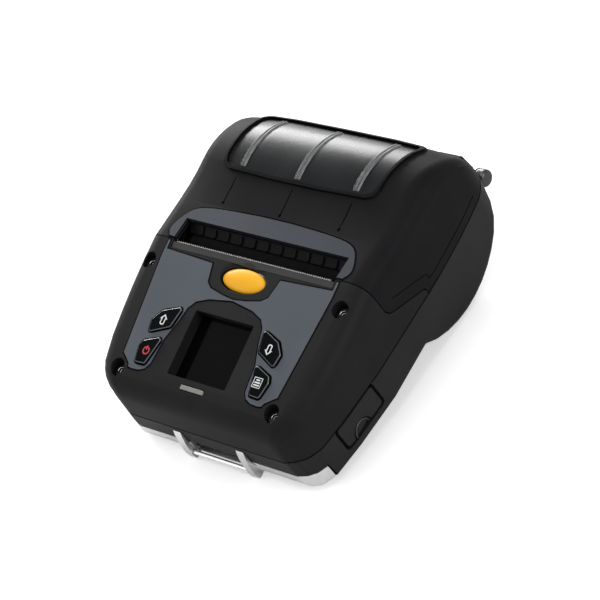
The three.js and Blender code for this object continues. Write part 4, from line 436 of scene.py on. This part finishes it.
def feed_arrow(name, body, across, along, heading):
    form = bmesh.new()
    half_head, half_tail, tip, shoulder, tail, stroke = 1.95, 1.15, 2.3, 0.35, -2.1, 0.5
    corners = (
        (0, tip),
        (-half_head, shoulder),
        (-half_tail, shoulder),
        (-half_tail, tail + half_tail / 2),
        (-half_tail / 2, tail),
        (half_tail / 2, tail),
        (half_tail, tail + half_tail / 2),
        (half_tail, shoulder),
        (half_head, shoulder),
    )
    face = form.faces.new([form.verts.new((x, heading * y, 0)) for x, y in corners])
    face.normal_update()
    bmesh.ops.inset_region(
        form, faces=[face], thickness=stroke, use_boundary=True, use_even_offset=True
    )
    bmesh.ops.delete(form, geom=[face], context="FACES_ONLY")
    return printed(form, name, body, white_ink, across, along)


feed_arrow("arrow_back", "up", -28.6, -70.9, 1)
feed_arrow("arrow_forward", "down", 28.2, -70.9, -1)

power_form = bmesh.new()
ring_radius, ring_stroke, ring_gap, ring_steps = 1.75, 0.55, radians(40), 28
tick_share = 0.65
inner_end = power_form.verts.new((0, ring_radius - ring_stroke, 0))
outer_end = power_form.verts.new((0, ring_radius, 0))
ring_start = power_form.edges.new((inner_end, outer_end))
bmesh.ops.rotate(power_form, verts=power_form.verts, matrix=Matrix.Rotation(ring_gap / 2, 3, "Z"))
bmesh.ops.spin(
    power_form,
    geom=[inner_end, outer_end, ring_start],
    cent=(0, 0, 0),
    axis=(0, 0, 1),
    angle=2 * pi - ring_gap,
    steps=ring_steps,
)
tick = bmesh.ops.create_grid(power_form, x_segments=1, y_segments=1, size=1)
bmesh.ops.scale(power_form, verts=tick["verts"], vec=(ring_stroke / 2, ring_radius / 2, 1))
bmesh.ops.translate(power_form, verts=tick["verts"], vec=(0, ring_radius * tick_share, 0))
printed(power_form, "power_ring", "power", red_ink, -30, -84.2)

menu_form = bmesh.new()
page_half, page_stroke, line_pitch, line_half_width = 2.1, 0.4, 1.05, 0.3
bmesh.ops.create_grid(menu_form, x_segments=1, y_segments=1, size=page_half)
menu_form.faces.ensure_lookup_table()
sheet = menu_form.faces[0]
bmesh.ops.inset_region(menu_form, faces=[sheet], thickness=page_stroke, use_boundary=True)
bmesh.ops.delete(menu_form, geom=[sheet], context="FACES_ONLY")
short_line, full_line = 0.45, 0.65
for row, share in ((1, short_line), (0, full_line), (-1, full_line)):
    line = bmesh.ops.create_grid(menu_form, x_segments=1, y_segments=1, size=1)
    bmesh.ops.scale(menu_form, verts=line["verts"], vec=(page_half * share, line_half_width, 1))
    bmesh.ops.translate(menu_form, verts=line["verts"], vec=(0, row * line_pitch, 0))
printed(menu_form, "menu_sign", "menu", white_ink, 29.8, -84)

# Release button. An amber ABS oval with a low crown, in its finger hollow behind the keys.
# Pressing it swings the latch off the platen bushes, and the lid springs open.
amber, _ = moulded(
    "amber_plastic", (0.92, 0.43, 0.006), (0.97, 0.475, 0.010), 0.34, gloss=0.25, cloud=60
)
softened("release_button", "amber_button", "release", amber, 0.3, sharp=40)

# Tear bar. A dark moulded shelf along the front of the slot falls towards the panel; on its
# rear edge lies a thin stamped steel blade with fine teeth.
shelf_plastic, _ = moulded(
    "shelf_plastic", (0.040, 0.040, 0.039), (0.050, 0.050, 0.049), 0.5, gloss=0.12
)
# The shelf's broken edges are painted near-black as a painted shade line against the panel.
softened("tear_bar", "tear_shelf", "case", shelf_plastic, 0.4, rim=painted_shade_black)

blade_half_length, blade_front_y, blade_back_y, blade_z = 41.0, -39.5, -38.85, 47.52
tooth_count, tooth_depth, blade_thickness = 74, 0.62, 0.12
blade_form = bmesh.new()
bmesh.ops.create_grid(blade_form, x_segments=2 * tooth_count, y_segments=1, size=0.5)
for corner in blade_form.verts:
    step = round((corner.co.x + 0.5) * 2 * tooth_count)
    back = corner.co.y > 0
    corner.co.x *= 2 * blade_half_length
    corner.co.y = blade_back_y - (tooth_depth if step % 2 else 0) if back else blade_front_y
    corner.co.z = blade_z
blade_top = bmesh.ops.extrude_face_region(blade_form, geom=blade_form.faces[:])
raised = [part for part in blade_top["geom"] if isinstance(part, bmesh.types.BMVert)]
bmesh.ops.translate(blade_form, verts=raised, vec=(0, 0, blade_thickness))
bmesh.ops.recalc_face_normals(blade_form, faces=blade_form.faces)
bmesh.ops.transform(blade_form, matrix=own_frame, verts=blade_form.verts)
blade_mesh = bpy.data.meshes.new("tear_blade")
blade_form.to_mesh(blade_mesh)
blade_form.free()
spring_steel, _ = metal("spring_steel", (0.14, 0.14, 0.14), (0.24, 0.24, 0.24), 0.42, cloud=900)
blade_mesh.materials.append(spring_steel)
tear_blade = link_piece("tear_blade", blade_mesh)
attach(tear_blade, "case")

# Platen. A black rubber roller on a ground steel shaft turns in bushes carried by the lid;
# its holder's sloping front face has eleven thin ribs that guide the paper out.
black_rubber, _ = moulded(
    "black_rubber", (0.004, 0.004, 0.004), (0.006, 0.006, 0.006), 0.8, gloss=0.05, cloud=300
)
paint(black_rubber, "platen_roller")
paint(bright_steel, "platen_shaft")
inner_black, _ = moulded(
    "inner_black", (0.0035, 0.0035, 0.0038), (0.0055, 0.0055, 0.0058), 0.5, gloss=0.06
)
paint(inner_black, "platen_bush_left", "platen_bush_right")
softened("platen_holder", "ribbed_wall", "cover", inner_black, 0.12)

# Roll holders. Two black guides slide apart on racks that share one nylon pinion, and their
# hubs stand in the core of the paper roll.
softened("roll_holder_right", "roll_guide_right", "guide_right", inner_black, 0.2)
softened("roll_holder_left", "roll_guide_left", "guide_left", inner_black, 0.2)
paint(gear_nylon, "holder_pinion")

# Window. A smoky polycarbonate pane with three pairs of raised ribs, snapped into the bead of
# the lid so that the paper left on the roll shows through. The bevels of the pane and its ribs
# are painted a light grey as painted highlight lines.
smoky, smoky_shader = moulded(
    "smoky_pane", (0.004, 0.005, 0.006), (0.010, 0.011, 0.012), 0.26, grain=900, relief=0.08
)
smoky_shader.inputs["Transmission Weight"].default_value = 0.15
smoky_shader.inputs["IOR"].default_value = 1.24
rib_highlight, _ = moulded(
    "painted_rib_highlight", (0.15, 0.155, 0.16), (0.24, 0.245, 0.25), 0.4, gloss=0.8, cloud=400
)
pane = softened(
    "lid_window", "window_pane", "cover", smoky, 0.2, rim=rib_highlight, clamp=False
)

# Bead. The moulded ring of the lid that holds the pane is painted near-black as painted shade,
# so that it stays dark where the plastic beside it catches the light.
bead_reach = 1.9
pane_points = [point.co for point in pane.data.vertices]
pane_faces = [list(face.vertices) for face in pane.data.polygons]
pane_tree = BVHTree.FromPolygons(pane_points, pane_faces)
for face in lid_shell.data.polygons:
    near_pane, _, _, _ = pane_tree.find_nearest(face.center, bead_reach * mm)
    if near_pane is not None:
        face.material_index = 1

# Hinge rod. A dark chromed rod with a rounded collar at each end joins the lid to the tray.
dark_chrome, _ = metal("dark_chrome", (0.05, 0.05, 0.055), (0.08, 0.08, 0.085), 0.3, cloud=40)
softened(
    "hinge_rod", "chromed_rod", "case", dark_chrome, 1.3, segments=6, clamp=False
)

# Connector flap. A soft black flap on the right side covers the data socket and the charging
# socket; its broken edges are painted near-black as painted shade. A bead is moulded along the
# arch of its thumb notch, shiny and drawn lighter than the flap as a painted highlight.
flap_rubber, _ = moulded(
    "flap_rubber", (0.009, 0.009, 0.0095), (0.012, 0.012, 0.0125), 0.62, gloss=0.25
)
softened(
    "connector_cover", "socket_flap", "socket_flap", flap_rubber, 0.5,
    rim=painted_shade_black, clamp=False,
)

lip_x, lip_y, lip_z, lip_radius, lip_bead = 55.75, -74.5, 4.6, 4.1, 0.3
lip_sides, lip_steps = 8, 16
lip_highlight, _ = moulded(
    "lip_rubber_highlight", (0.02, 0.02, 0.021), (0.03, 0.03, 0.031), 0.3, gloss=0.9
)
lip_form = bmesh.new()
bmesh.ops.create_circle(lip_form, segments=lip_sides, radius=lip_bead)
bmesh.ops.translate(lip_form, verts=lip_form.verts, vec=(lip_x, lip_y + lip_radius, lip_z))
bmesh.ops.spin(
    lip_form,
    geom=lip_form.verts[:] + lip_form.edges[:],
    cent=(lip_x, lip_y, lip_z),
    axis=(1, 0, 0),
    angle=pi,
    steps=lip_steps,
)
bmesh.ops.holes_fill(lip_form, edges=lip_form.edges, sides=lip_sides)
bmesh.ops.recalc_face_normals(lip_form, faces=lip_form.faces)
for face in lip_form.faces:
    face.smooth = True
bmesh.ops.transform(lip_form, matrix=own_frame, verts=lip_form.verts)
lip_mesh = bpy.data.meshes.new("thumb_lip")
lip_form.to_mesh(lip_mesh)
lip_form.free()
lip_mesh.materials.append(lip_highlight)
thumb_lip = link_piece("thumb_lip", lip_mesh)
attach(thumb_lip, "socket_flap")
paint(bright_steel, "usb_socket")
paint(inner_black, "dc_socket")
